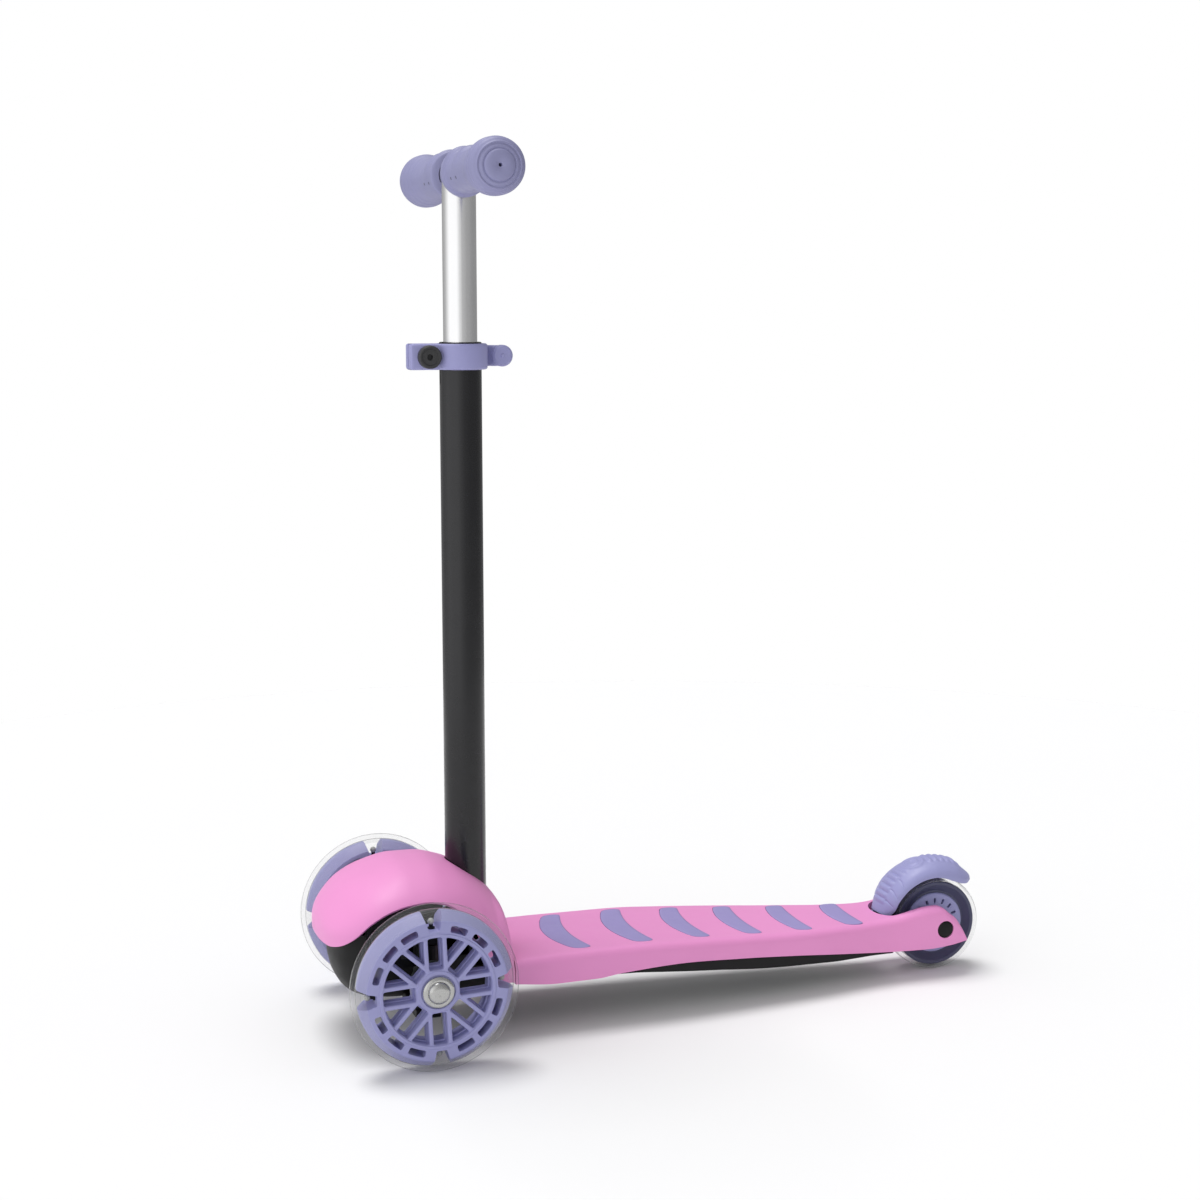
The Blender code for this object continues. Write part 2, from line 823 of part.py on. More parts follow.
def hood():
    """The dome, a shell round the column, with an arch over each wheel."""
    outline = hood_plan()
    hole = OUTER_TUBE_RADIUS + HOOD_WALL * 0.4
    rows = 9
    bm = bmesh.new()
    grid = []
    for level in range(rows + 1):
        spread = sin(pi / 2 * level / rows)
        row = []
        for x, y in outline:
            angle = atan2(y - COLUMN_BEHIND_AXLE, x)
            hole_x, hole_y = polar(hole, angle)
            hole_y += COLUMN_BEHIND_AXLE
            px = hole_x + (x - hole_x) * spread
            py = hole_y + (y - hole_y) * spread
            row.append(bm.verts.new((px, behind(py), hood_height(px, py))))
        grid.append(row)
    for share in (0.5, 1.0):
        row = []
        for x, y in outline:
            top = hood_height(x, y)
            row.append(bm.verts.new((x, behind(y), top + (HOOD_BOTTOM - top) * share)))
        grid.append(row)
    count = len(outline)
    for inner, outer in zip(grid, grid[1:]):
        for i in range(count):
            j = (i + 1) % count
            bm.faces.new((inner[i], inner[j], outer[j], outer[i]))
    bmesh.ops.recalc_face_normals(bm, faces=bm.faces)
    mesh = bpy.data.meshes.new("hood")
    bm.to_mesh(mesh)
    bm.free()
    shell = add("hood", mesh, "pink_plastic")
    thick = shell.modifiers.new("wall", "SOLIDIFY")
    thick.thickness = HOOD_WALL
    thick.offset = -1
    outline = [(behind(y * MM), z * MM) for y, z in HOOD_LOWER_EDGE]
    column_hole = rod(
        "hood_column_hole",
        OUTER_TUBE_RADIUS + 2 * GAP,
        (0, behind(COLUMN_BEHIND_AXLE), 60 * MM),
        80 * MM,
        "Z",
        sides=28,
    )
    tongue_gate = box(
        "tongue_gate",
        (-TONGUE_HALF - 10 * MM, behind(60 * MM), 30 * MM),
        (TONGUE_HALF + 10 * MM, behind(73 * MM), 50 * MM),
    )
    return cut(shell, side_plate("hood_arch", outline, -0.1, 0.1), column_hole, tongue_gate)


# ---------------------------------------------------------------- column


def outer_tube():
    length = OUTER_TUBE_TOP - OUTER_TUBE_FOOT
    centre = (0, behind(COLUMN_BEHIND_AXLE), OUTER_TUBE_FOOT + length / 2)
    tube = ring("outer_tube", OUTER_TUBE_RADIUS, OUTER_TUBE_BORE, length, centre, "Z", "black_paint")
    bolt_bore = rod(
        "tube_bolt_bore", 2.4 * MM, (-30 * MM, centre[1], 76 * MM), 60 * MM, "X", sides=12
    )
    slit = box(
        "tube_slit",
        (-1 * MM, centre[1] - 20 * MM, OUTER_TUBE_TOP - 30 * MM),
        (1 * MM, centre[1], OUTER_TUBE_TOP + 5 * MM),
    )
    return cut(tube, bolt_bore, slit)


def column_bolt():
    return turned(
        "column_bolt",
        [
            (0, 26 * MM),
            (4 * MM, 26 * MM),
            (4 * MM, 21 * MM),
            (2.1 * MM, 21 * MM),
            (2.1 * MM, -23 * MM),
            (0, -23 * MM),
        ],
        (0, behind(COLUMN_BEHIND_AXLE), 76 * MM),
        "X",
        "steel",
        12,
    )


def guide_bush():
    """The sleeve that the inner tube slides in."""
    low, high = 440 * MM, OUTER_TUBE_TOP + 1.4 * MM
    flange = 1 * MM
    return turned(
        "guide_bush",
        [
            (OUTER_TUBE_RADIUS - 0.6 * MM, high),
            (OUTER_TUBE_RADIUS - 0.6 * MM, high - flange),
            (OUTER_TUBE_BORE - GAP, high - flange),
            (OUTER_TUBE_BORE - GAP, low),
            (INNER_TUBE_RADIUS + GAP, low),
            (INNER_TUBE_RADIUS + GAP, high),
        ],
        (0, behind(COLUMN_BEHIND_AXLE), 0),
        "Z",
        "black_plastic",
        24,
    )


def inner_tube():
    top = HANDLEBAR_HEIGHT
    length = top - INNER_TUBE_FOOT
    centre = (0, behind(COLUMN_BEHIND_AXLE), INNER_TUBE_FOOT + length / 2)
    tube = ring("inner_tube", INNER_TUBE_RADIUS, INNER_TUBE_BORE, length, centre, "Z", "steel")
    saddle = rod(
        "crossbar_saddle",
        CROSSBAR_RADIUS + GAP,
        (-30 * MM, centre[1], HANDLEBAR_HEIGHT),
        60 * MM,
        "X",
        sides=32,
    )
    return cut(tube, saddle)


def crossbar():
    return ring(
        "crossbar",
        CROSSBAR_RADIUS,
        CROSSBAR_RADIUS - 1.5 * MM,
        2 * CROSSBAR_HALF,
        (0, behind(COLUMN_BEHIND_AXLE), HANDLEBAR_HEIGHT),
        "X",
        "steel",
        24,
    )


# Radius and distance from the middle plane, in millimetres
GRIP_PROFILE = [
    (13, 12.8),
    (16, 14),
    (17, 16),
    (17, 19),
    (14.8, 23),
    (14.8, 66),
    (18.2, 87),
    (19.6, 95),
    (19.6, 105.5),
    (18.4, 108.4),
    (16.2, 109),
    (15.6, 110.8),
    (11, 111.4),
    (10.2, 112.8),
]


def grip(side, sign):
    """A soft sleeve with a round bulb at its outer end and a small vent in the end face."""
    bore = CROSSBAR_RADIUS + GAP
    reach = CROSSBAR_HALF + GAP
    outside = [(radius * MM, x * MM) for radius, x in reversed(GRIP_PROFILE)]
    vent = 1.2 * MM
    profile = [(vent, outside[0][1]), *outside, (bore, outside[-1][1]), (bore, reach), (vent, reach)]
    obj = turned(f"grip_{side}", profile, (0, 0, 0), "X", "lilac_plastic", 20)
    obj.location = (0, behind(COLUMN_BEHIND_AXLE), HANDLEBAR_HEIGHT)
    obj.rotation_euler = (0, 0, 0 if sign > 0 else pi)
    return obj


# ---------------------------------------------------------------- height clamp

CLAMP_BOLT_BEHIND = 22 * MM
CLAMP_EAR_HALF = 9 * MM
LEVER_PIVOT_X = -16 * MM


def clamp_collar():
    """A split band round the column's top with two ears in front."""
    y = behind(COLUMN_BEHIND_AXLE)
    middle = (COLLAR_LOW + COLLAR_HIGH) / 2
    height = COLLAR_HIGH - COLLAR_LOW
    band = rod("clamp_collar", 19.5 * MM, (0, y, COLLAR_LOW), height, "Z", "lilac_plastic", 36)
    ears = box(
        "clamp_ears",
        (-CLAMP_EAR_HALF, behind(9 * MM), COLLAR_LOW),
        (CLAMP_EAR_HALF, behind(34 * MM), COLLAR_HIGH),
        bevel=2 * MM,
    )
    bore = rod("clamp_bore", OUTER_TUBE_RADIUS + GAP, (0, y, COLLAR_LOW - 5 * MM), 20.9 * MM, "Z")
    lip = rod("clamp_lip", INNER_TUBE_RADIUS + 0.6 * MM, (0, y, COLLAR_LOW), 30 * MM, "Z")
    slot = box(
        "clamp_slot",
        (-1.2 * MM, behind(5 * MM), COLLAR_LOW - 5 * MM),
        (1.2 * MM, y, COLLAR_HIGH + 5 * MM),
    )
    bolt_bore = rod(
        "clamp_bolt_bore", 2.6 * MM, (-30 * MM, behind(CLAMP_BOLT_BEHIND), middle), 60 * MM, "X", sides=16
    )
    join(band, ears)
    return cut(band, bore, lip, slot, bolt_bore)


def clamp_bolt():
    """The cross bolt, with an eye at its far end for the lever's pin."""
    middle = (COLLAR_LOW + COLLAR_HIGH) / 2
    y = behind(CLAMP_BOLT_BEHIND)
    bolt = rod("clamp_bolt", 2.2 * MM, (LEVER_PIVOT_X, y, middle), 30.5 * MM, "X", "steel", 16)
    eye = rod("bolt_eye", 4.4 * MM, (LEVER_PIVOT_X, y, middle - 3 * MM), 6 * MM, "Z", sides=20)
    pin_bore = rod("bolt_pin_bore", 2.1 * MM, (LEVER_PIVOT_X, y, middle - 9 * MM), 18 * MM, "Z", sides=12)
    join(bolt, eye)
    return cut(bolt, pin_bore)


def clamp_nut():
    """The round adjusting nut on the near end of the bolt."""
    middle = (COLLAR_LOW + COLLAR_HIGH) / 2
    return turned(
        "clamp_nut",
        [
            (7 * MM, 6 * MM),
            (8.3 * MM, 5 * MM),
            (8.3 * MM, 0),
            (2.5 * MM, 0),
            (2.5 * MM, 6 * MM),
        ],
        (CLAMP_EAR_HALF + GAP, behind(CLAMP_BOLT_BEHIND), middle),
        "X",
        "black_plastic",
        24,
    )


def offset_path(path, width):
    """The outline of a bar of this width along a path, with a round far end."""
    left, right = [], []
    for i, (x, y) in enumerate(path):
        x0, y0 = path[max(i - 1, 0)]
        x1, y1 = path[min(i + 1, len(path) - 1)]
        length = hypot(x1 - x0, y1 - y0)
        nx, ny = -(y1 - y0) / length * width / 2, (x1 - x0) / length * width / 2
        left.append((x + nx, y + ny))
        right.append((x - nx, y - ny))
    x, y = path[-1]
    x0, y0 = path[-2]
    ahead = atan2(y - y0, x - x0)
    tip = []
    for i in range(1, 6):
        dx, dy = polar(width / 2, ahead + pi / 2 - pi * i / 6)
        tip.append((x + dx, y + dy))
    return left + tip + right[::-1]


def clamp_lever():
    """The cam lever, curled round the far side of the column with its tip behind it."""
    middle = (COLLAR_LOW + COLLAR_HIGH) / 2
    path = [
        (LEVER_PIVOT_X, CLAMP_BOLT_BEHIND),
        (-24.5 * MM, 34 * MM),
        (-25.5 * MM, 47 * MM),
        (-23 * MM, 59.5 * MM),
        (-16 * MM, 70.5 * MM),
        (-7 * MM, 77 * MM),
    ]
    outline = offset_path([(x, behind(y)) for x, y in path], 7 * MM)
    height = 15 * MM
    lever = plate("clamp_lever", [outline], height, (0, 0, middle), "Z", "lilac_plastic")
    y = behind(CLAMP_BOLT_BEHIND)
    hub = rod("lever_hub", 6.3 * MM, (LEVER_PIVOT_X, y, middle - height / 2), height, "Z", sides=24)
    fork = rod("lever_fork", 8 * MM, (LEVER_PIVOT_X, y, middle - 3.6 * MM), 7.2 * MM, "Z", sides=24)
    bore = rod("lever_bore", 2.1 * MM, (LEVER_PIVOT_X, y, middle - 10 * MM), 20 * MM, "Z", sides=12)
    tip = rod("lever_tip", 7.2 * MM, (-10.5 * MM, behind(79 * MM), middle), 7 * MM, "X", sides=24)
    join(lever, hub, tip)
    cut(lever, fork, bore)
    pin = rod(
        "lever_pin",
        1.8 * MM,
        (LEVER_PIVOT_X, y, middle - height / 2 - 0.4 * MM),
        height + 0.8 * MM,
        "Z",
        "steel",
        12,
    )
    hang("lever_axis", (LEVER_PIVOT_X, y, middle), lever)
    return pin


def tie_rod():
    """The bar that joins both steering arms, with a fork that the head's finger moves."""
    y = behind(-STEER_ARM)
    low, high = TIE_ROD_HEIGHT - 2.4 * MM, TIE_ROD_HEIGHT + 2.4 * MM
    bar = box(
        "tie_rod",
        (-KINGPIN_X - 7 * MM, y - 6.5 * MM, low),
        (KINGPIN_X + 7 * MM, y + 6.5 * MM, high),
        "black_plastic",
    )
    block = box("tie_fork", (-9 * MM, y - 6 * MM, low), (9 * MM, y + 6 * MM, high + 6 * MM))
    bed = box("tie_bed", (-9 * MM, y - 6 * MM, low - 5.6 * MM), (9 * MM, y + 6 * MM, low + 1 * MM))
    finger = rod("tie_finger_hole", 4.7 * MM, (0, y - 10 * MM, TIE_ROD_HEIGHT), 20 * MM, "Y", sides=16)
    join(bar, block, bed)
    holes = [
        rod(f"tie_hole_{side}", 4.3 * MM, (sign * KINGPIN_X, y, low - 5 * MM), 20 * MM, "Z", sides=16)
        for side, sign in (("left", 1), ("right", -1))
    ]
    return cut(bar, finger, *holes)


# ---------------------------------------------------------------- deck

DECK_TOP = [
    (70, 57.6),
    (120, 58.8),
    (170, 58.8),
    (217, 56.8),
    (262, 54.3),
    (305, 51.8),
    (352, 50.1),
    (390, 49.4),
]
DECK_HALF = [(70, 54.5), (120, 52.5), (190, 51), (244, 47), (312, 39.5), (352, 33), (390, 28.8)]
DECK_SKIRT = [
    (70, 40),
    (105, 36.6),
    (135, 36.8),
    (152, 38.7),
    (200, 41),
    (250, 38.3),
    (302, 33.6),
    (357, 27),
    (390, 23.9),
]
DECK_STATIONS = [70.6, 95, 120, 145, 170, 195, 220, 245, 270, 295, 320, 345, 368, 390]
TRAY_LOW = [
    (134, 37),
    (165, 36),
    (189, 34),
    (214, 31.6),
    (239, 29.2),
    (265, 26.4),
    (291, 24.4),
    (317, 23),
    (345, 21.4),
    (389, 21.4),
]
# The deck is solid behind here, and the tray runs on below it as a thin tail
TRAY_TAIL = 351


def deck_screws():
    """Plan positions of the screws that hold the chassis tongue and the tray to the deck."""
    return [
        (sign * half * MM, behind(distance * MM))
        for distance, half in ((112, 26), (337, 18))
        for sign in (1, -1)
    ]


def deck_section(distance, inset=0.0, floor=None):
    """A round-shouldered section across the deck, this far behind the axle."""
    top = straight(DECK_TOP, distance / MM) * MM - inset
    half = along(DECK_HALF, distance / MM) * MM - inset
    low = floor if floor is not None else straight(DECK_SKIRT, distance / MM) * MM
    radius = DECK_EDGE_RADIUS - inset * 0.8
    right = [(half, low)]
    for i in range(4):
        angle = pi / 2 * i / 3
        right.append((half - radius + radius * cos(angle), top - radius + radius * sin(angle)))
    section = right + [(-x, z) for x, z in reversed(right)]
    return [(x, behind(distance), z) for x, z in section]


def fork_arm(side, sign):
    """One arm beside the rear wheel, humped over the axle and pointed behind."""
    outline = [
        (360, 49.3),
        (388, 50.8),
        (404, 53.8),
        (417, 56.2),
        (426, 56.5),
        (432, 54.7),
        (438, 49.8),
        (444, 45),
        (448.4, 37.8),
        (452.3, 27.6),
        (450.5, 26.6),
        (438, 24.4),
        (421, 23),
        (394, 23.8),
        (360, 26.8),
    ]
    points = [(behind(y * MM), z * MM) for y, z in outline]
    low, high = sorted((sign * FORK_INNER, sign * FORK_OUTER))
    return side_plate(f"fork_arm_{side}", points, low, high)


def hinge_plan(inset):
    """Plan of the round-nosed slot that the fender's foot stands in."""
    front = behind(BRAKE_PIN[0] - 5.8 * MM) + inset
    half = FORK_INNER - inset
    nose = 13 * MM
    points = [(half, front + 90 * MM)]
    for i in range(6):
        dx, dy = polar(1, pi / 2 * i / 6)
        points.append((half * dx, front + nose * (1 - dy)))
    return points + [(0, front)] + [(-x, y) for x, y in reversed(points)]


def deck():
    """The foot board: a shell, open below, with two arms that hold the rear wheel."""
    board = loft("deck", [deck_section(d * MM) for d in DECK_STATIONS], "pink_plastic")
    hollow_stations = [74, 120, 170, 220, 270, 320, 352]
    hollow = loft(
        "deck_hollow",
        [deck_section(d * MM, DECK_WALL, 10 * MM) for d in hollow_stations],
    )
    notch = box(
        "tongue_notch",
        (-TONGUE_HALF - 2 * GAP, behind(60 * MM), 30 * MM),
        (TONGUE_HALF + 2 * GAP, behind(76 * MM), TONGUE_HIGH + 2 * GAP),
    )
    brake_y, brake_z = BRAKE_PIN
    slot = plate("hinge_slot", [hinge_plan(0.0)], 70 * MM, (0, 0, 45 * MM))
    bores = [
        rod(
            "rear_axle_bore",
            AXLE_RADIUS + GAP,
            (-60 * MM, behind(WHEELBASE), REAR_RADIUS),
            120 * MM,
            "X",
            sides=16,
        ),
        rod("brake_pin_bore", 2.3 * MM, (-31 * MM, behind(brake_y), brake_z), 57 * MM, "X", sides=12),
    ]
    for side, sign in (("left", 1), ("right", -1)):
        start = sign * (FORK_OUTER - 2 * MM)
        bores.append(
            rod(
                f"cap_recess_{side}",
                7.1 * MM,
                (start if sign > 0 else start - 10 * MM, behind(WHEELBASE), REAR_RADIUS),
                10 * MM,
                "X",
                sides=20,
            )
        )
    bosses, holes = [], []
    for number, (x, y) in enumerate(deck_screws()):
        low = TONGUE_HIGH + GAP if number < 2 else 32.4 * MM
        high = straight(DECK_TOP, (y - FRONT_AXLE_Y) / MM) * MM - DECK_WALL / 2
        bosses.append(rod(f"boss_{number}", 5 * MM, (x, y, low), high - low, "Z", sides=16))
        holes.append(rod(f"boss_hole_{number}", 1.9 * MM, (x, y, low - 5 * MM), 17.5 * MM, "Z", sides=10))
    cut(board, hollow)
    join(board, fork_arm("left", 1), fork_arm("right", -1), *bosses)
    return cut(board, notch, slot, *bores, *holes, *pad_recesses())


def tray_section(distance, inset=0.0, top=42 * MM):
    """A section of the tray, open above, with its lower corners cut."""
    half = along(DECK_HALF, distance / MM) * MM - 4.2 * MM - inset
    low = straight(TRAY_LOW, distance / MM) * MM + inset
    chamfer = min(1.5 * MM, (top - low) * 0.8)
    right = [(half - chamfer, low), (half, low + chamfer), (half, top)]
    section = right + [(-x, z) for x, z in reversed(right)]
    return [(x, behind(distance), z) for x, z in section]


def tail_section(distance):
    """A section of the tail, which stays just below the deck."""
    return tray_section(distance, 0.0, straight(DECK_SKIRT, distance / MM) * MM - 2 * GAP)


def underframe():
    """The black tray that stiffens the deck from below."""
    stations = [134, 150, 165, 189, 214, 239, 265, 291, 317, 340, TRAY_TAIL]
    tray = loft("underframe", [tray_section(d * MM) for d in stations], "black_plastic")
    inner = [139, 150, 165, 189, 214, 239, 265, 291, 317, 340, TRAY_TAIL - 3]
    hollow = loft("tray_hollow", [tray_section(d * MM, 2.5 * MM, 60 * MM) for d in inner])
    tail = loft("tray_tail", [tail_section(d * MM) for d in (TRAY_TAIL - 4, 360, 372, 389)])
    lids, holes = [], []
    for x, y in deck_screws()[2:]:
        lids.append(rod("tray_boss", 5 * MM, (x, y, 22 * MM), 10 * MM, "Z", sides=16))
        holes.append(rod("tray_hole", 2.4 * MM, (x, y, 10 * MM), 30 * MM, "Z", sides=12))
    cut(tray, hollow)
    join(tray, tail, *lids)
    return cut(tray, *holes)


def deck_screw(number, place):
    """A screw driven from below, with its head under the tongue or the tray."""
    under = (TONGUE_LOW if number < 2 else 21.4 * MM) - GAP
    return turned(
        f"deck_screw_{number + 1}",
        [
            (0, under + 16 * MM),
            (1.6 * MM, under + 14.5 * MM),
            (1.6 * MM, under),
            (4 * MM, under),
            (4 * MM, under - 1.6 * MM),
            (0, under - 1.6 * MM),
        ],
        (*place, 0),
        "Z",
        "steel",
        12,
    )


# ---------------------------------------------------------------- deck pads

# Distance of a pad's front behind the axle, its band's width, how far its tips trail, and half its span
PADS = [
    (108, 18, 9.5, 42.5),
    (157.6, 18.5, 8.5, 42),
    (206.3, 17.5, 7.5, 39),
    (251.5, 17.3, 6, 36.5),
    (296.7, 17, 4.5, 33),
    (342.5, 17.5, 3.5, 28),
]
PAD_DEPTH = 1.3 * MM
PAD_PROUD = 0.5 * MM


def crescent(pad, grow=0.0):
    """A curved band across the deck with blunt round tips."""
    front, band, trail, half = (value * MM for value in pad)
    steps = 12
    outer, inner = [], []
    for i in range(steps + 1):
        share = -cos(pi * i / steps)
        middle = front + band / 2 + trail * share * share
        thick = (band / 2 + grow) * (1 - 0.15 * share * share) * (1 - abs(share) ** 5) ** 0.5
        outer.append(((half + grow) * share, middle - thick))
        inner.append(((half + grow) * share, middle + thick))
    return outer + inner[-2:0:-1]


def pad_solid(name, outline, low, high, material=None):
    """A thin piece that follows the slope of the deck's top."""
    obj = plate(name, [[(x, behind(y)) for x, y in outline]], high - low, (0, 0, 0), "Z", material)
    lift = (high + low) / 2
    for vertex in obj.data.vertices:
        distance = (vertex.co.y - FRONT_AXLE_Y) / MM
        vertex.co.z += straight(DECK_TOP, distance) * MM + lift
    return obj


def pad_recesses():
    return [
        pad_solid(f"pad_recess_{i + 1}", crescent(pad, GAP), -PAD_DEPTH, 5 * MM)
        for i, pad in enumerate(PADS)
    ]


def pads():
    return [
        pad_solid(f"pad_{i + 1}", crescent(pad), GAP - PAD_DEPTH, PAD_PROUD, "lilac_plastic")
        for i, pad in enumerate(PADS)
    ]


# ---------------------------------------------------------------- rear wheel and brake


def rear_wheel():
    centre = (0, behind(WHEELBASE), REAR_RADIUS)
    half = REAR_CORE_WIDTH / 2
    bore = BEARING_RADIUS + GAP
    core = turned(
        "rear_core",
        [
            (REAR_CORE_RADIUS, half),
            (REAR_CORE_RADIUS, -half),
            (31 * MM, -half),
            (24 * MM, 3 * MM - half),
            (bore, 1 * MM - half),
            (bore, -3 * MM),
            (AXLE_RADIUS + 1.2 * MM, -3 * MM),
            (AXLE_RADIUS + 1.2 * MM, 3 * MM),
            (bore, 3 * MM),
            (bore, half - 1 * MM),
            (24 * MM, half - 3 * MM),
            (31 * MM, half),
        ],
        centre,
        "X",
        "lilac_plastic",
        24,
    )
    half = REAR_TYRE_WIDTH / 2
    tyre = turned(
        "rear_tyre",
        [
            (REAR_RADIUS, half - 7 * MM),
            (REAR_RADIUS, 7 * MM - half),
            (REAR_RADIUS - 1.6 * MM, 2 * MM - half),
            (REAR_CORE_RADIUS + GAP, -half),
            (REAR_CORE_RADIUS + GAP, half),
            (REAR_RADIUS - 1.6 * MM, half - 2 * MM),
        ],
        centre,
        "X",
        "clear_tyre",
        40,
    )
    pieces = [core, tyre]
    for side, sign in (("left", 1), ("right", -1)):
        x = sign * (3 * MM + GAP + BEARING_WIDTH / 2)
        pieces.append(
            ring(
                f"rear_bearing_{side}",
                BEARING_RADIUS,
                AXLE_RADIUS + GAP,
                BEARING_WIDTH,
                (x, *centre[1:]),
                "X",
                "steel",
                16,
            )
        )
    hang("rear_wheel_axis", centre, *pieces)


def rear_axle():
    half = FORK_OUTER - 2.5 * MM
    return rod(
        "rear_axle", AXLE_RADIUS, (-half, behind(WHEELBASE), REAR_RADIUS), 2 * half, "X", "steel", 16
    )


def rear_spacer(side, sign):
    """The sleeve on the axle between the wheel's bearing and the fork arm."""
    low, high = 8.7 * MM, FORK_INNER - GAP
    x = sign * (low + high) / 2
    return ring(
        f"rear_spacer_{side}",
        6 * MM,
        AXLE_RADIUS + GAP,
        high - low,
        (x, behind(WHEELBASE), REAR_RADIUS),
        "X",
        "steel",
        20,
    )


def rear_cap(side, sign):
    """The round cover over the axle's end."""
    obj = turned(
        f"rear_cap_{side}",
        [(0, 2.4 * MM), (5.4 * MM, 2.2 * MM), (6.8 * MM, 1.2 * MM), (6.8 * MM, GAP), (0, GAP)],
        (0, 0, 0),
        "X",
        "black_plastic",
        24,
    )
    obj.location = (sign * (FORK_OUTER - 2 * MM), behind(WHEELBASE), REAR_RADIUS)
    obj.rotation_euler = (0, 0, 0 if sign > 0 else pi)
    return obj


# Angle round the rear axle, radii of the side's lower edge and of the crown, and half width
FENDER_STATIONS = [
    (166, 42.5, 50.4, 13.5),
    (158, 41.2, 50.5, 16.3),
    (148, 42.3, 50.9, 18.4),
    (136, 42.5, 51.5, 19.5),
    (122, 42, 51.7, 19.7),
    (108, 41.2, 51.9, 19.7),
    (95, 40.3, 52, 19.7),
    (83, 38.8, 51.7, 19.5),
    (72, 37.7, 51.5, 19),
    (63, 37.8, 50.2, 18),
    (56, 39, 49.3, 16),
    (50, 40.8, 48.9, 12.5),
    (46, 43.2, 47.8, 8),
]


def fender_section(degrees, low, high, half):
    """A round-shouldered channel, open towards the wheel."""
    angle = degrees * pi / 180
    low, high, half = low * MM, high * MM, half * MM
    wall = 2.6 * MM
    across, rise = min(13 * MM, half * 0.8), (high - low) * 0.75
    side = [(half, low)]
    for i in range(4):
        dx, dr = polar(1, pi / 2 * i / 3)
        side.append((half - across * (1 - dx), high - rise * (1 - dr)))
    ceiling = low + min(1.6 * MM, (high - low) * 0.2)
    inner = [(half - wall, ceiling), (half - wall, low)]
    section = side + [(-x, r) for x, r in reversed(side)]
    section += [(-x, r) for x, r in reversed(inner)] + inner
    points = []
    for x, radius in section:
        y, z = polar(radius, angle)
        points.append((x, behind(WHEELBASE) + y, REAR_RADIUS + z))
    return points


def brake_fender():
    """The mudguard over the rear wheel, which a foot presses down onto the tyre."""
    fender = loft("brake_fender", [fender_section(*s) for s in FENDER_STATIONS], "lilac_plastic")
    y, z = BRAKE_PIN
    foot = plate("fender_foot", [hinge_plan(1.2 * MM)], 13 * MM, (0, 0, 48.5 * MM))
    foot_end = box(
        "foot_end", (-40 * MM, behind(y + 8 * MM), 0), (40 * MM, behind(y + 100 * MM), 90 * MM)
    )
    cut(foot, foot_end)
    hinge = rod("fender_hinge", 4 * MM, (-8 * MM, behind(y), z), 16 * MM, "X")
    bore = rod("fender_bore", 2.3 * MM, (-40 * MM, behind(y), z), 80 * MM, "X", sides=12)
    wheel_clear = rod(
        "wheel_clear",
        REAR_RADIUS + 2.6 * MM,
        (-14 * MM, behind(WHEELBASE), REAR_RADIUS),
        28 * MM,
        "X",
        sides=40,
    )
    spring_pocket = box(
        "brake_spring_pocket",
        (-5 * MM, behind(y - 4.4 * MM), z - 9 * MM),
        (5 * MM, behind(y + 4.4 * MM), z + 4.4 * MM),
    )
    join(fender, foot, hinge)
    cut(fender, bore, wheel_clear, spring_pocket)
    hang("brake_axis", (0, behind(y), z), fender)


def brake_pin():
    y, z = BRAKE_PIN
    return rod("brake_pin", 2 * MM, (-27.5 * MM, behind(y), z), 53 * MM, "X", "steel", 12)


def brake_spring():
    """The small torsion coil on the brake's pin."""
    y, z = BRAKE_PIN
    turns, per_turn = 3, 10
    count = turns * per_turn
    points = []
    for i in range(count + 1):
        dy, dz = polar(3.2 * MM, 2 * pi * i / per_turn)
        points.append((-3.6 * MM + 7.2 * MM * i / count, dy, dz))
    return wire("brake_spring", points, 1 * MM, (0, behind(y), z))


# ---------------------------------------------------------------- assembly


def build():
    clear_scene()
    make_materials()
    for side, sign in (("left", 1), ("right", -1)):
        front_wheel(side, sign)
        knuckle(side, sign)
        rear_cap(side, sign)
        rear_spacer(side, sign)
        centring_spring(side, sign)
    front_chassis()
    pivot_pin()
    tie = tie_rod()
    hang("tie_rod_axis", (0, behind(-STEER_ARM), TIE_ROD_HEIGHT), tie)
    deck()
    underframe()
    pads()
    for number, place in enumerate(deck_screws()):
        deck_screw(number, place)
    lean_axis = (0, behind(0), PIVOT_HEIGHT)
    leaning = [steering_head(), hood(), outer_tube(), column_bolt(), guide_bush()]
    leaning += [clamp_collar(), clamp_bolt(), clamp_nut(), clamp_lever()]
    hang("lean_axis", lean_axis, *leaning)
    handlebar = [inner_tube(), crossbar(), grip("left", 1), grip("right", -1)]
    hang("height_axis", (0, behind(COLUMN_BEHIND_AXLE), OUTER_TUBE_TOP), *handlebar)
    rear_wheel()
    rear_axle()
    brake_fender()
    brake_pin()
    brake_spring()


build()
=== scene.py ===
"""Looks of a child's three-wheeled kick scooter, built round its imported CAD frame.

Shapes are in millimetres: x (the rider's left is +), distance behind the front axle, height.
"""

from math import asin, atan2, cos, exp, hypot, pi, radians, sin

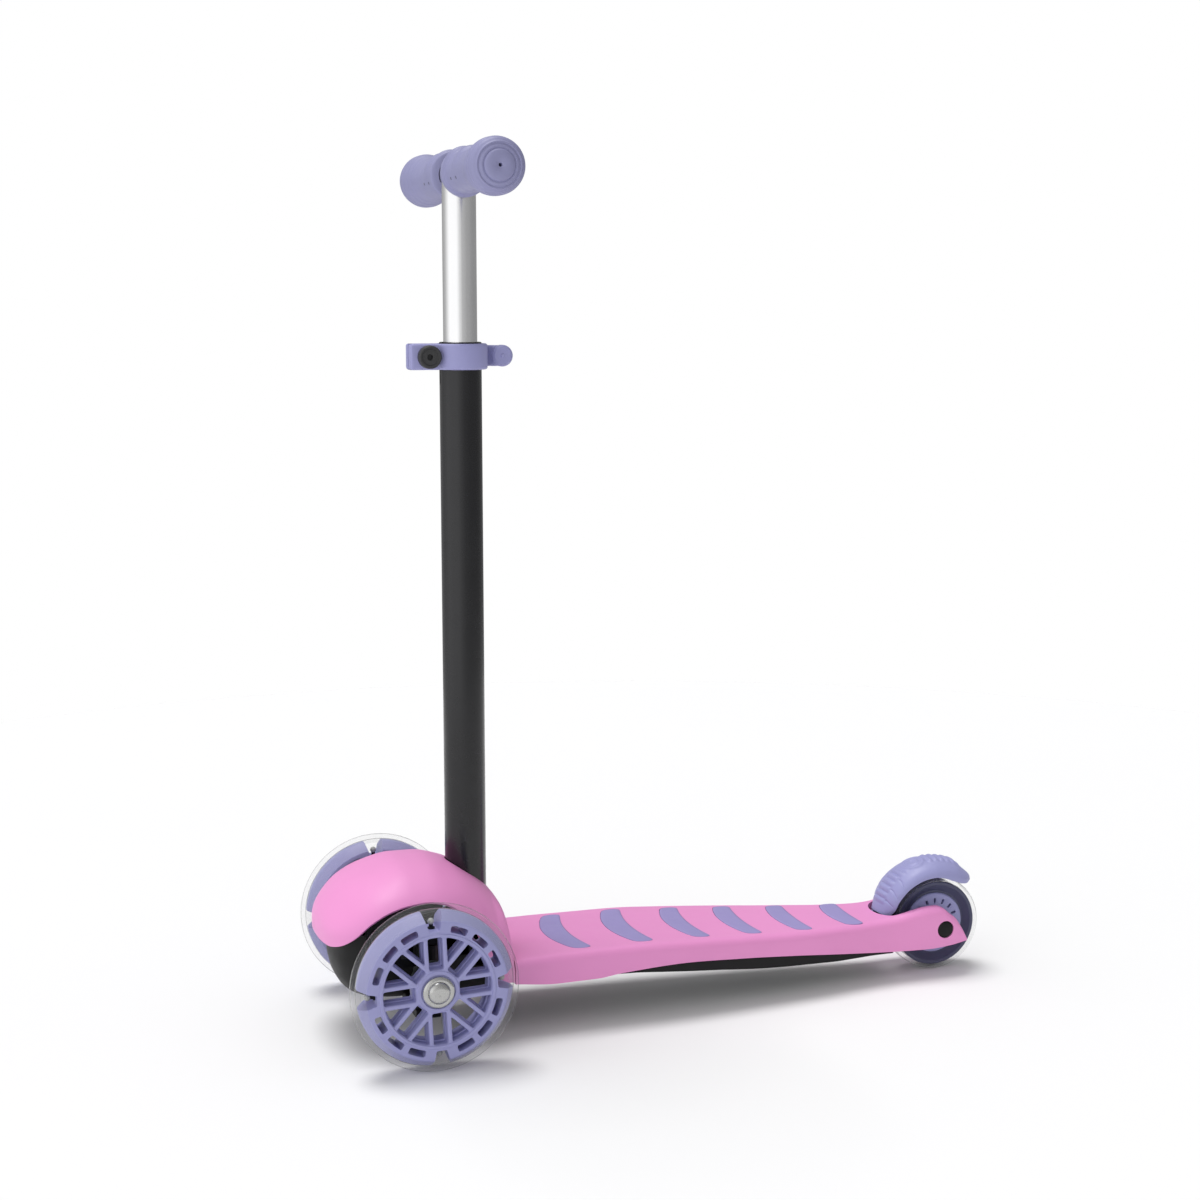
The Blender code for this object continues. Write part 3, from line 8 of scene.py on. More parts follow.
import bmesh
import bpy
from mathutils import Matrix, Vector

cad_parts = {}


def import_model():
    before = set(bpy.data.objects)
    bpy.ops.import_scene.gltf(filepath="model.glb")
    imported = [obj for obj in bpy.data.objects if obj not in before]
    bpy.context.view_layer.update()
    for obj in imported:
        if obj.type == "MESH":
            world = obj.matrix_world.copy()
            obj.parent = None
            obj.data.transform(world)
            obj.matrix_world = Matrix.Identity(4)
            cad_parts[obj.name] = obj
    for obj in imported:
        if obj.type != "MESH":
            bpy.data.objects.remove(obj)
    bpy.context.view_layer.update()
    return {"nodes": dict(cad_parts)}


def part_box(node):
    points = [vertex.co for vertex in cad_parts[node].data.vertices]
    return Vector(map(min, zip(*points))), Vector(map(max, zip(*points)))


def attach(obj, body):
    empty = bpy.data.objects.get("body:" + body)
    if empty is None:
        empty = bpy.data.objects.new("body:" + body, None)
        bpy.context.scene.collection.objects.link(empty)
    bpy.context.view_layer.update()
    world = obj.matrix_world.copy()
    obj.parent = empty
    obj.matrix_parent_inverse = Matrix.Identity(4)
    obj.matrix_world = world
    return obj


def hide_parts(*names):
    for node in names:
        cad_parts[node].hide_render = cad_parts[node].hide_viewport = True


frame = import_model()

MM = 0.001


def middle(node):
    low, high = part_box(node)
    return (low + high) / 2 / MM


def extent(node):
    low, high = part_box(node)
    return (high - low) / MM


FRONT_WHEEL = middle("front_tyre_left")
REAR_WHEEL = middle("rear_tyre")
AXLE_Y = FRONT_WHEEL.y
REAR_RADIUS = extent("rear_tyre").z / 2
FRONT_CENTRE = (FRONT_WHEEL.x, 0.0, FRONT_WHEEL.z)
REAR_CENTRE = (0.0, REAR_WHEEL.y - AXLE_Y, REAR_WHEEL.z)
COLUMN_BEHIND = middle("outer_tube").y - AXLE_Y
OUTER_TUBE_RADIUS = extent("outer_tube").x / 2
INNER_TUBE_RADIUS = extent("inner_tube").y / 2
CROSSBAR_RADIUS = extent("crossbar").y / 2
BAR_HEIGHT = middle("crossbar").z
SIDES = (("left", 1), ("right", -1))


# ---------------------------------------------------------------- curves and tables


def smooth(table, at):
    """A smooth value through (position, value) pairs that never overshoots them."""
    if at <= table[0][0]:
        return table[0][1]
    if at >= table[-1][0]:
        return table[-1][1]
    slopes = [(b[1] - a[1]) / (b[0] - a[0]) for a, b in zip(table, table[1:])]

    def tangent(i):
        if i == 0:
            return slopes[0]
        if i == len(slopes):
            return slopes[-1]
        before, after = slopes[i - 1], slopes[i]
        return 0.0 if before * after <= 0 else 2 * before * after / (before + after)

    for i, ((a, low), (b, high)) in enumerate(zip(table, table[1:])):
        if at <= b:
            t = (at - a) / (b - a)
            span = b - a
            start, end = tangent(i) * span, tangent(i + 1) * span
            rise = high - low
            return low + start * t + (3 * rise - 2 * start - end) * t * t + (start + end - 2 * rise) * t**3


def ease(table, at):
    """A value that eases from pair to pair of a table."""
    if at <= table[0][0]:
        return table[0][1]
    for (a, low), (b, high) in zip(table, table[1:]):
        if at <= b:
            t = (at - a) / (b - a)
            return low + (high - low) * t * t * (3 - 2 * t)
    return table[-1][1]


def span(start, end, count):
    return [start + (end - start) * i / count for i in range(count + 1)]


def polar(radius, angle, centre=(0.0, 0.0)):
    return centre[0] + radius * cos(angle), centre[1] + radius * sin(angle)


def arc(radius, start, end, count, centre=(0.0, 0.0)):
    return [polar(radius, angle, centre) for angle in span(start, end, count)]


def rounded(points, radius, steps=4, closed=True):
    """A 2D outline with its corners rounded. A point may carry its own radius as a third value."""
    count = len(points)
    made = []
    for i, point in enumerate(points):
        corner = Vector(point[:2])
        reach = point[2] if len(point) > 2 else radius
        if reach <= 0 or (not closed and i in (0, count - 1)):
            made.append(tuple(corner))
            continue
        sides = [Vector(points[(i + step) % count][:2]) - corner for step in (-1, 1)]
        ends = [corner + side * min(reach / side.length, 0.48) for side in sides]
        for t in span(0.0, 1.0, steps):
            blend = ends[0] * (1 - t) ** 2 + corner * 2 * t * (1 - t) + ends[1] * t * t
            made.append(tuple(blend))
    return made


def mirrored(half_outline):
    """Closes an outline that starts on the middle plane with its mirror image."""
    return half_outline + [(-x, y) for x, y in reversed(half_outline) if x > 1e-6]


# ---------------------------------------------------------------- meshes


def to_row(point):
    x, distance, z = point
    return Vector((x, AXLE_Y + distance, z)) * MM


def solid(name, points, faces):
    """A mesh object from points in millimetres, welded, with its faces pointing out."""
    mesh = bpy.data.meshes.new(name)
    mesh.from_pydata([to_row(point) for point in points], [], faces)
    tidy(mesh)
    obj = bpy.data.objects.new(name, mesh)
    bpy.context.scene.collection.objects.link(obj)
    return obj


def tidy(mesh, weld=1e-6):
    bm = bmesh.new()
    bm.from_mesh(mesh)
    bmesh.ops.remove_doubles(bm, verts=bm.verts, dist=weld)
    bmesh.ops.dissolve_degenerate(bm, edges=bm.edges, dist=weld)
    bmesh.ops.recalc_face_normals(bm, faces=bm.faces)
    bm.to_mesh(mesh)
    bm.free()


def skin(name, rings, caps=True, closed=True, loop=False):
    """A surface through rings of equal count."""
    count = len(rings[0])
    points = [point for ring in rings for point in ring]
    faces = []
    for near, far in zip(range(len(rings)), range(1, len(rings) + loop)):
        far %= len(rings)
        for i in range(count if closed else count - 1):
            j = (i + 1) % count
            faces.append((near * count + i, near * count + j, far * count + j, far * count + i))
    if caps and not loop:
        faces.append(tuple(range(count)))
        faces.append(tuple(range(len(points) - count, len(points))))
    return solid(name, points, faces)


def lathe(name, profile, centre, axis="X", side=1, steps=96):
    """A solid of revolution from a (radius, height) profile, which closes round or ends on the axis."""
    rings = []
    for i in range(steps):
        dx, dy = polar(1, 2 * pi * i / steps)
        ring = []
        for radius, height in profile:
            a, b, h = radius * dx, radius * dy, height * side
            offset = {"X": (h, a, b), "Y": (a, h, b), "Z": (a, b, h)}[axis]
            ring.append(tuple(c + o for c, o in zip(centre, offset)))
        rings.append(ring)
    closed = all(radius > 1e-6 for radius, _ in profile)
    return skin(name, rings, caps=False, closed=closed, loop=True)


def plate(name, outlines, low, high, axis="Z", bevel=0.5, origin=(0.0, 0.0, 0.0)):
    """A flat piece with rounded edges from closed outlines, the later ones being holes in the first."""
    curve = bpy.data.curves.new(name, "CURVE")
    curve.dimensions = "2D"
    curve.fill_mode = "BOTH"
    curve.extrude = (high - low) / 2 - bevel
    curve.bevel_depth = bevel
    curve.bevel_resolution = 2
    curve.offset = -bevel
    for outline in outlines:
        spline = curve.splines.new("POLY")
        spline.points.add(len(outline) - 1)
        spline.use_cyclic_u = True
        for point, (u, v) in zip(spline.points, outline):
            point.co = (u, v, 0, 1)
    holder = bpy.data.objects.new(name, curve)
    bpy.context.scene.collection.objects.link(holder)
    graph = bpy.context.evaluated_depsgraph_get()
    mesh = bpy.data.meshes.new_from_object(holder.evaluated_get(graph))
    bpy.data.objects.remove(holder)
    centre = (low + high) / 2
    points = []
    for vertex in mesh.vertices:
        u, v, w = vertex.co
        w += centre
        turned = {"X": (w, u, v), "Y": (u, w, v), "Z": (u, v, w)}[axis]
        points.append(tuple(o + c for o, c in zip(origin, turned)))
    faces = [tuple(polygon.vertices) for polygon in mesh.polygons]
    bpy.data.meshes.remove(mesh)
    return solid(name, points, faces)


def block(name, low, high, bevel=0.6):
    """A box between two corners with rounded edges."""
    outline = [(low[0], low[1]), (high[0], low[1]), (high[0], high[1]), (low[0], high[1])]
    return plate(name, [rounded(outline, bevel)], low[2], high[2], "Z", bevel)


def rod(name, radius, start, length, axis="X", bevel=0.4, steps=48):
    profile = [(0, 0), (radius - bevel, 0), (radius, bevel), (radius, length - bevel)]
    profile += [(radius - bevel, length), (0, length)]
    return lathe(name, profile, start, axis, 1, steps)


def bake(obj):
    """Replaces an object's mesh with what its modifiers make of it."""
    graph = bpy.context.evaluated_depsgraph_get()
    mesh = bpy.data.meshes.new_from_object(obj.evaluated_get(graph))
    obj.modifiers.clear()
    obj.data = mesh
    return obj


def spread(mesh):
    """How far a mesh reaches along x, y and z."""
    return [max(v.co[i] for v in mesh.vertices) - min(v.co[i] for v in mesh.vertices) for i in range(3)]


def combine(obj, operation, others):
    """Bakes booleans into obj, and stops if a union comes out smaller than what went in."""
    before = spread(obj.data)
    for other in others:
        made = obj.modifiers.new(other.name, "BOOLEAN")
        made.operation = operation
        made.solver = "EXACT"
        made.object = other
    bake(obj)
    for other in others:
        bpy.data.objects.remove(other)
    tidy(obj.data)
    if operation == "UNION" and min(a - b for a, b in zip(spread(obj.data), before)) < -0.1 * MM:
        raise RuntimeError(f"{obj.name} lost part of its shape in a union")
    return obj


def cut(obj, *others):
    return combine(obj, "DIFFERENCE", others)


def join(obj, *others):
    return combine(obj, "UNION", others)


def piece(obj, material, body, slot, *nodes, sharp=32):
    """Gives a finished mesh its shading, material and body, and hides the CAD nodes that it stands for."""
    obj.data.materials.clear()
    obj.data.materials.append(material)
    obj.data.shade_smooth()
    obj.data.set_sharp_from_angle(angle=radians(sharp))
    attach(obj, body)
    if nodes:
        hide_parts(*nodes)
    return obj


# ---------------------------------------------------------------- materials


class Nodes:
    """A material's node tree, with short calls for the nodes used here."""

    def __init__(self, name):
        self.material = bpy.data.materials.new(name)
        self.material.use_nodes = True
        self.tree = self.material.node_tree
        self.shader = self.tree.nodes["Principled BSDF"]
        self.place = self.add("ShaderNodeTexCoord").outputs["Object"]

    def add(self, kind, **settings):
        node = self.tree.nodes.new(kind)
        for key, value in settings.items():
            setattr(node, key, value)
        return node

    def link(self, source, target):
        self.tree.links.new(source, target)

    def set(self, **values):
        for key, value in values.items():
            self.shader.inputs[key.replace("_", " ")].default_value = value

    def noise(self, scale, detail=3.0, stretch=None):
        node = self.add("ShaderNodeTexNoise")
        node.inputs["Scale"].default_value = scale
        node.inputs["Detail"].default_value = detail
        place = self.place
        if stretch:
            mapping = self.add("ShaderNodeMapping")
            mapping.inputs["Scale"].default_value = stretch
            self.link(place, mapping.inputs["Vector"])
            place = mapping.outputs["Vector"]
        self.link(place, node.inputs["Vector"])
        return node.outputs["Fac"]

    def between(self, factor, low, high, target):
        node = self.add("ShaderNodeMapRange")
        node.inputs["From Min"].default_value = 0.3
        node.inputs["From Max"].default_value = 0.7
        node.inputs["To Min"].default_value = low
        node.inputs["To Max"].default_value = high
        self.link(factor, node.inputs["Value"])
        self.link(node.outputs["Result"], target)

    def colours(self, factor, first, second):
        node = self.add("ShaderNodeMix", data_type="RGBA")
        node.inputs["A"].default_value = (*first, 1)
        node.inputs["B"].default_value = (*second, 1)
        self.link(factor, node.inputs["Factor"])
        self.link(node.outputs["Result"], self.shader.inputs["Base Color"])

    def bump(self, height, depth, strength=0.3):
        node = self.add("ShaderNodeBump")
        node.inputs["Strength"].default_value = strength
        node.inputs["Distance"].default_value = depth
        self.link(height, node.inputs["Height"])
        self.link(node.outputs["Normal"], self.shader.inputs["Normal"])


def shade(colour, factor):
    return tuple(min(1.0, c * factor) for c in colour)


def moulded(name, colour, roughness, grain=1600, depth=0.00004, variation=0.04, shine=0.4):
    """Moulded plastic: an even colour that drifts a little, with a fine spark-eroded grain."""
    made = Nodes(name)
    made.colours(made.noise(14), shade(colour, 1 - variation), shade(colour, 1 + variation))
    made.between(made.noise(70, 5), roughness - 0.05, roughness + 0.05, made.shader.inputs["Roughness"])
    made.bump(made.noise(grain, 2), depth)
    made.set(Specular_IOR_Level=shine)
    return made.material


def rubber(name, colour, roughness=0.6):
    """Soft grip rubber with a fine stipple."""
    made = Nodes(name)
    made.colours(made.noise(40), shade(colour, 0.93), shade(colour, 1.06))
    made.between(made.noise(160, 4), roughness - 0.07, roughness + 0.07, made.shader.inputs["Roughness"])
    stipple = made.add("ShaderNodeTexVoronoi")
    stipple.inputs["Scale"].default_value = 900
    made.link(made.place, stipple.inputs["Vector"])
    made.bump(stipple.outputs["Distance"], 0.00008, 0.35)
    return made.material


def metal(name, colour, roughness, stretch, streak=0.05):
    """Polished or plated metal with faint drawing marks along one direction."""
    made = Nodes(name)
    made.colours(made.noise(30), shade(colour, 0.96), shade(colour, 1.03))
    marks = made.noise(1, 6, stretch)
    made.between(marks, roughness, roughness + streak, made.shader.inputs["Roughness"])
    made.bump(marks, 0.00001, 0.15)
    made.set(Metallic=1.0)
    return made.material


def paint():
    """Black powder coat, glossy, with a slight orange peel."""
    made = Nodes("black_powder_coat")
    made.colours(made.noise(20), (0.004, 0.004, 0.005), (0.007, 0.007, 0.009))
    made.between(made.noise(90, 4), 0.22, 0.3, made.shader.inputs["Roughness"])
    made.bump(made.noise(420, 2), 0.00001)
    made.set(Specular_IOR_Level=0.42, Coat_Weight=0.1, Coat_Roughness=0.08)
    return made.material


def clear_rubber():
    """Water-clear polyurethane, which shows as a grey line where it is seen edge on."""
    made = Nodes("clear_polyurethane")
    made.set(IOR=1.45, Specular_IOR_Level=0.12)
    made.between(made.noise(60, 4), 0.05, 0.1, made.shader.inputs["Roughness"])
    edge = made.add("ShaderNodeLayerWeight")
    edge.inputs["Blend"].default_value = 0.5
    outline = made.add("ShaderNodeMapRange", interpolation_type="SMOOTHSTEP")
    outline.inputs["From Min"].default_value = 0.68
    outline.inputs["From Max"].default_value = 0.96
    made.link(edge.outputs["Facing"], outline.inputs["Value"])
    made.colours(outline.outputs["Result"], (0.50, 0.50, 0.49), (0.20, 0.20, 0.19))
    alpha = made.add("ShaderNodeMapRange")
    alpha.inputs["To Min"].default_value = 0.07
    alpha.inputs["To Max"].default_value = 0.75
    made.link(outline.outputs["Result"], alpha.inputs["Value"])
    made.link(alpha.outputs["Result"], made.shader.inputs["Alpha"])
    return made.material


PINK = (0.80, 0.295, 0.60)
LILAC = (0.315, 0.315, 0.565)
PAD_LILAC = (0.315, 0.27, 0.55)
GRIP_LILAC = (0.265, 0.265, 0.45)


def make_materials():
    return {
        "pink": moulded("pink_plastic", PINK, 0.5),
        "lilac": moulded("lilac_plastic", LILAC, 0.45),
        # Dark plastic: the grip vents' own dark plugs, and on the rear rim painted shade for the fender's
        # shadow in the wheel's dish
        "dark_and_painted_shade": moulded("dark_plastic_and_painted_shade", (0.06, 0.063, 0.12), 0.35),
        "black": moulded("black_nylon", (0.008, 0.008, 0.0085), 0.5, 900, 0.00008, 0.1, 0.2),
        "nut": moulded("grey_nylon", (0.035, 0.035, 0.036), 0.5, 900, 0.00008, 0.1),
        "pad": rubber("pad_rubber", PAD_LILAC, 0.58),
        "grip": rubber("grip_rubber", GRIP_LILAC, 0.5),
        "paint": paint(),
        "chrome": metal("polished_tube", (0.74, 0.74, 0.74), 0.17, (900, 900, 12)),
        "steel": metal("zinc_steel", (0.46, 0.46, 0.45), 0.22, (700, 700, 700), 0.1),
        "clear": clear_rubber(),
        "board": moulded("circuit_board", (0.012, 0.016, 0.014), 0.4),
        "lamp": moulded("lamp_lens", (0.42, 0.43, 0.40), 0.12),
    }


# ---------------------------------------------------------------- hood

HOOD_FRONT, HOOD_SEAM = -66.0, 70.0
HOOD_HALF, HOOD_SEAM_HALF = 66.0, 54.5
HOOD_NOSE = 52.0
HOOD_BOTTOM = 42.0
HOOD_WALL = 2.6
GATE_HALF, GATE_TOP = 44.0, 50.0
HOOD_CROWN = [(-66, 82), (-64, 91), (-56, 102.5), (-42, 115.5), (-25, 123.5), (-4, 128.5)]
HOOD_CROWN += [(12, 128.5), (30, 124.5), (47, 115.5), (60, 104), (65, 96.5), (68.6, 82), (70, 57.6)]
HOOD_BELT = [(-66, 82), (-20, 86), (20, 82), (50, 66), (70, 49)]
HOOD_EDGE = [(-62, 76), (-56, 79.5), (-49, 85.5), (-37, 97), (-23, 104.5), (-9, 108), (5, 109)]
HOOD_EDGE += [(17, 107), (29, 100), (40, 86), (47, 68), (50, 52), (52, HOOD_BOTTOM)]


def hood_half_width(y):
    if y <= HOOD_FRONT:
        return 0.0
    if y < HOOD_FRONT + HOOD_NOSE:
        t = (HOOD_FRONT + HOOD_NOSE - y) / HOOD_NOSE
        return HOOD_HALF * (1 - t**2.5) ** 0.4
    return ease([(HOOD_FRONT + HOOD_NOSE + 20, HOOD_HALF), (HOOD_SEAM, HOOD_SEAM_HALF)], y)


def hood_height(x, y):
    crown, belt = smooth(HOOD_CROWN, y), smooth(HOOD_BELT, y)
    half = hood_half_width(y)
    if half < 1e-6:
        return belt
    power = ease([(20, 2.2), (58, 2.5), (70, 6)], y)
    share = min(1.0, abs(x) / half)
    return belt + (crown - belt) * (1 - share**power) ** (1 / 2.2)


def hood_outline():
    """Plan outline of the dome from the middle of the front round the left side to the rear."""
    half = []
    for i in range(28):
        y = HOOD_FRONT + HOOD_NOSE * (1 - cos(pi / 2 * i / 27) ** 0.8)
        half.append((hood_half_width(y), y))
    half += [(hood_half_width(y), y) for y in span(-10, 42, 22) + span(43, 54, 15) + span(56, 69, 7)]
    half += [(x, HOOD_SEAM) for x in span(HOOD_SEAM_HALF, 0, 24)]
    half[0] = (0.0, HOOD_FRONT)
    return mirrored(half)


def hood_rib(outer_x, outer_y, rows):
    """Points from the column's hole over the dome to the hood's lower edge."""
    hole = OUTER_TUBE_RADIUS + 0.7
    hole_x, hole_y = polar(hole, atan2(outer_y - COLUMN_BEHIND, outer_x), (0, COLUMN_BEHIND))

    def at(s):
        if s >= 1:
            top = hood_height(outer_x, outer_y)
            return outer_x, outer_y, top + (HOOD_BOTTOM - top) * (s - 1)
        share = sin(pi / 2 * s)
        x, y = hole_x + (outer_x - hole_x) * share, hole_y + (outer_y - hole_y) * share
        return x, y, hood_height(x, y)

    def below_edge(s):
        x, y, z = at(s)
        edge = smooth(HOOD_EDGE, y)
        if y > HOOD_SEAM - 0.01 and abs(x) < GATE_HALF:
            edge = GATE_TOP
        return z < edge

    end = 2.0
    for s in span(0.3, 2.0, 120):
        if below_edge(s):
            end = s
            break
    low, high = end - 1.7 / 120, end
    for _ in range(12):
        half = (low + high) / 2
        low, high = (low, half) if below_edge(half) else (half, high)
    return [at(high * s) for s in span(0, 1, rows)]


def hood():
    ribs = [hood_rib(x, y, 40) for x, y in hood_outline()]
    shell = skin("hood_shell", ribs, caps=False, closed=False, loop=True)
    outward = sum(polygon.normal.z * polygon.area for polygon in shell.data.polygons)
    if outward < 0:
        shell.data.flip_normals()
    wall = shell.modifiers.new("wall", "SOLIDIFY")
    wall.thickness = HOOD_WALL * MM
    wall.offset = -1
    edge = shell.modifiers.new("edge", "BEVEL")
    edge.width = 0.8 * MM
    edge.segments = 3
    edge.limit_method = "ANGLE"
    edge.angle_limit = radians(55)
    bake(shell)
    piece(shell, MATERIALS["pink"], "steering_head", "pink_plastic", "hood", sharp=45)


# ---------------------------------------------------------------- belly tub

TUB_WALL = 2.5
TUB_SECTION = [
    (20, 31),
    (17, 31.8),
    (13, 34),
    (9.6, 36.8),
    (7, 40),
    (4.8, 43.8),
    (3, 48),
    (1.1, 56),
    (0, 64),
    (0, 84),
]
TUB_HOLLOW = [(18, 34.6), (15, 35.4), (11.5, 37.5), (8, 40.6), (5.5, 44.5), (2.2, 54), (0, 64), (0, 88)]
CHASSIS_HALF = 46.0
KINGPIN_X = 70.0
LINKAGE_FRONT = -26.0


def tub_plan(inset):
    """Plan of the tub: a blunt nose with straight sides."""
    front, half = -57 + inset, CHASSIS_HALF - inset
    nose, back = 38.0, 65 - 0.4 * inset
    points = []
    for t in span(0, pi / 2, 24):
        points.append((half * sin(t) ** 0.8, front + nose - nose * cos(t) ** 0.8))
    points += [(half, y) for y in span(front + nose, back, 5)[1:]]
    return mirrored(points)


def tub_rings(section, wall):
    return [[(x, y, z) for x, y in tub_plan(inset + wall)] for inset, z in section]


def tub():
    """The belly tub, open above, with its kingpin arms, pivot lugs and the tongue under the deck."""
    body = skin("belly_tub", tub_rings(TUB_SECTION, 0.0))
    pockets = [rod("pocket", 6.8, (s * 22, 22, 34.1), 8, "Z", 0.2) for s in (1, -1)]
    step = block("rear_step", (-60, 40, 54), (60, 80, 95), 0.2)
    cut(body, skin("hollow", tub_rings(TUB_HOLLOW, TUB_WALL)), step, *pockets)
    parts = [rod("seat", 3, (s * 22, 22, 33), 5, "Z", 0.3) for s in (1, -1)]
    for _, sign in SIDES:
        near, far = sorted((sign * (CHASSIS_HALF - TUB_WALL), sign * CHASSIS_HALF))
        parts.append(block("arch_wall", (near, -38, 60), (far, 38, 99), 0.4))
        for root, low, high in ((31, 30.5, 37.5), (44, 83.9, 90)):
            near, far = sorted((sign * root, sign * (KINGPIN_X + 8)))
            parts.append(block("arm", (near, -9, low), (far, 9, high), 1.0))
    for start, end in ((-19, -12), (59.5, 64.5)):
        parts.append(block("lug", (-10, start, 33), (10, end, 52), 0.6))
    parts.append(block("tongue", (-TONGUE_HALF, 60.5, 36), (TONGUE_HALF, 130, TONGUE_HIGH), 0.5))
    join(body, *parts)
    cutters = [rod("kingpin_bore", 4.2, (s * KINGPIN_X, 0, 20), 80, "Z") for s in (1, -1)]
    cutters.append(block("window", (-60, LINKAGE_FRONT - 8, 71), (60, LINKAGE_FRONT + 8, 88), 0.4))
    cutters.append(rod("pin_bore", 4.2, (0, -30, 45), 100, "Y"))
    cutters += [rod("tongue_hole", 2.4, (s * 26, 112, 25), 20, "Z") for s in (1, -1)]
    cut(body, *cutters)
    piece(body, MATERIALS["black"], "frame", "black_plastic", "front_chassis")


# ---------------------------------------------------------------- deck

DECK_TOP = [(70, 57.6), (120, 58.8), (170, 58.8), (217, 56.8), (262, 54.3), (305, 51.8), (352, 50.1)]
DECK_TOP += [(372, 49.9), (388, 50.8), (404, 53.8), (417, 56.2), (426, 56.5), (432, 54.7), (438, 49.8)]
DECK_TOP += [(444, 45), (448.4, 37.8), (452, 28.8)]
DECK_HALF = [(70, 54.5), (120, 52.5), (190, 51), (244, 47), (312, 39.5), (352, 33), (390, 28.6), (452, 28.3)]
DECK_SKIRT = [(70, 40), (105, 36.6), (135, 36.8), (152, 38.7), (200, 41), (250, 38.3), (302, 33.6)]
DECK_SKIRT += [(357, 27), (390, 23.9), (421, 23), (438, 24.4), (452, 27)]
DECK_EDGE = 6.5
DECK_WALL = 3.0
SLOT_HALF = 20.5
SLOT_NOSE = 13.0
SLOT_FRONT = 381.2
TONGUE_HALF, TONGUE_HIGH = 34.0, 41.0
PADS = [
    (108, 18, 9.5, 42.5),
    (157.6, 18.5, 8.5, 42),
    (206.3, 17.5, 7.5, 39),
    (251.5, 17.3, 6, 36.5),
    (296.7, 17, 4.5, 33),
    (342.5, 17.5, 3.5, 28),
]
PAD_DEPTH, PAD_PROUD = 1.3, 0.6


def deck_section(distance, inset=0.0, floor=None):
    """A round-shouldered section across the deck."""
    top = smooth(DECK_TOP, distance) - inset
    half = smooth(DECK_HALF, distance) - inset
    low = smooth(DECK_SKIRT, distance) if floor is None else floor
    radius = max(0.6, min(DECK_EDGE - inset, (top - low) * 0.45))
    lower = min(1.0, radius * 0.5) if floor is None else 0.0
    right = [(half - lower, low), (half - lower * 0.3, low + lower * 0.3), (half, low + lower)]
    right += [(x, z) for x, z in arc(radius, 0, pi / 2, 10, (half - radius, top - radius))]
    return [(x, distance, z) for x, z in mirrored_open(right)]


def mirrored_open(right):
    return right + [(-x, z) for x, z in reversed(right)]


def slot_plan(inset, front=SLOT_FRONT, half=SLOT_HALF, nose=SLOT_NOSE, back=SLOT_FRONT + 95):
    """Plan of a round-nosed slot that runs back from its front."""
    half, front = half - inset, front + inset
    side = [(half * cos(a), front + nose * (1 - sin(a))) for a in span(0, pi / 2, 14)]
    return [(half, back)] + side + [(-x, y) for x, y in reversed(side[:-1])] + [(-half, back)]


def crescent(pad, grow=0.0, steps=40):
    """Front and rear edges of a curved band across the deck with blunt round tips."""
    front, band, trail, half = pad
    edges = []
    for i in range(steps + 1):
        share = -cos(pi * i / steps)
        centre = front + band / 2 + trail * share * share
        thick = (band / 2 + grow) * (1 - 0.2 * share * share) * max(0.0, 1 - abs(share) ** 26) ** 0.5
        edges.append(((half + grow) * share, centre, thick))
    return edges


def crescent_solid(name, pad, grow, low, high, crown=0.0):
    """A crescent between two heights over the deck's top, domed by crown."""
    across = 14
    rows = []
    for x, centre, thick in crescent(pad, grow):
        ring = []
        for v in span(-1, 1, across):
            y = centre + thick * v
            tip = 1 - abs(x / (pad[3] + grow)) ** 16
            ring.append((x, y, smooth(DECK_TOP, y) + high - crown * (1 - (1 - v**8) * max(tip, 0))))
        for v in span(1, -1, across):
            y = centre + thick * v
            ring.append((x, y, smooth(DECK_TOP, y) + low))
        rows.append(ring)
    return skin(name, rows)


def pads():
    for i, pad in enumerate(PADS):
        made = crescent_solid(f"deck_pad_{i + 1}", pad, 0.0, 0.3 - PAD_DEPTH, PAD_PROUD, 0.5)
        piece(made, MATERIALS["pad"], "frame", "pad_rubber", f"pad_{i + 1}", sharp=50)


TRAY_LOW = [(134, 37), (165, 36), (189, 34), (214, 31.6), (239, 29.2), (265, 26.4), (291, 24.4)]
TRAY_LOW += [(317, 23), (345, 21.4), (389, 21.4)]
TRAY_WALL = 2.5
TAIL_START, TAIL_END = 347.0, 389.0


def tray_section(distance, inset=0.0, top=42.0):
    """A section of the tray, open above, with its lower corners rounded."""
    half = smooth(DECK_HALF, distance) - 4.2 - inset
    low = smooth(TRAY_LOW, distance) + inset
    radius = min(3.0, (top - low) * 0.8)
    right = [(x, z) for x, z in arc(radius, -pi / 2, 0, 6, (half - radius, low + radius))] + [(half, top)]
    return [(x, distance, z) for x, z in mirrored_open(right)]


def tray():
    """The black tray that stiffens the deck from below, and its thin tail."""
    body = skin("belly_tray", [tray_section(d) for d in span(134, 351, 60)])
    cut(body, skin("hollow", [tray_section(d, TRAY_WALL, 60) for d in span(139, 348, 60)]))
    tail = [tray_section(d, 0.0, smooth(DECK_SKIRT, d) - 0.5) for d in span(TAIL_START, TAIL_END, 16)]
    bosses = [rod("boss", 5, (s * 18, 337, 22), 10, "Z") for s in (1, -1)]
    join(body, skin("tail", tail), *bosses)
    cut(body, *[rod("hole", 2.4, (s * 18, 337, 10), 30, "Z") for s in (1, -1)])
    piece(body, MATERIALS["black"], "frame", "black_plastic", "underframe")


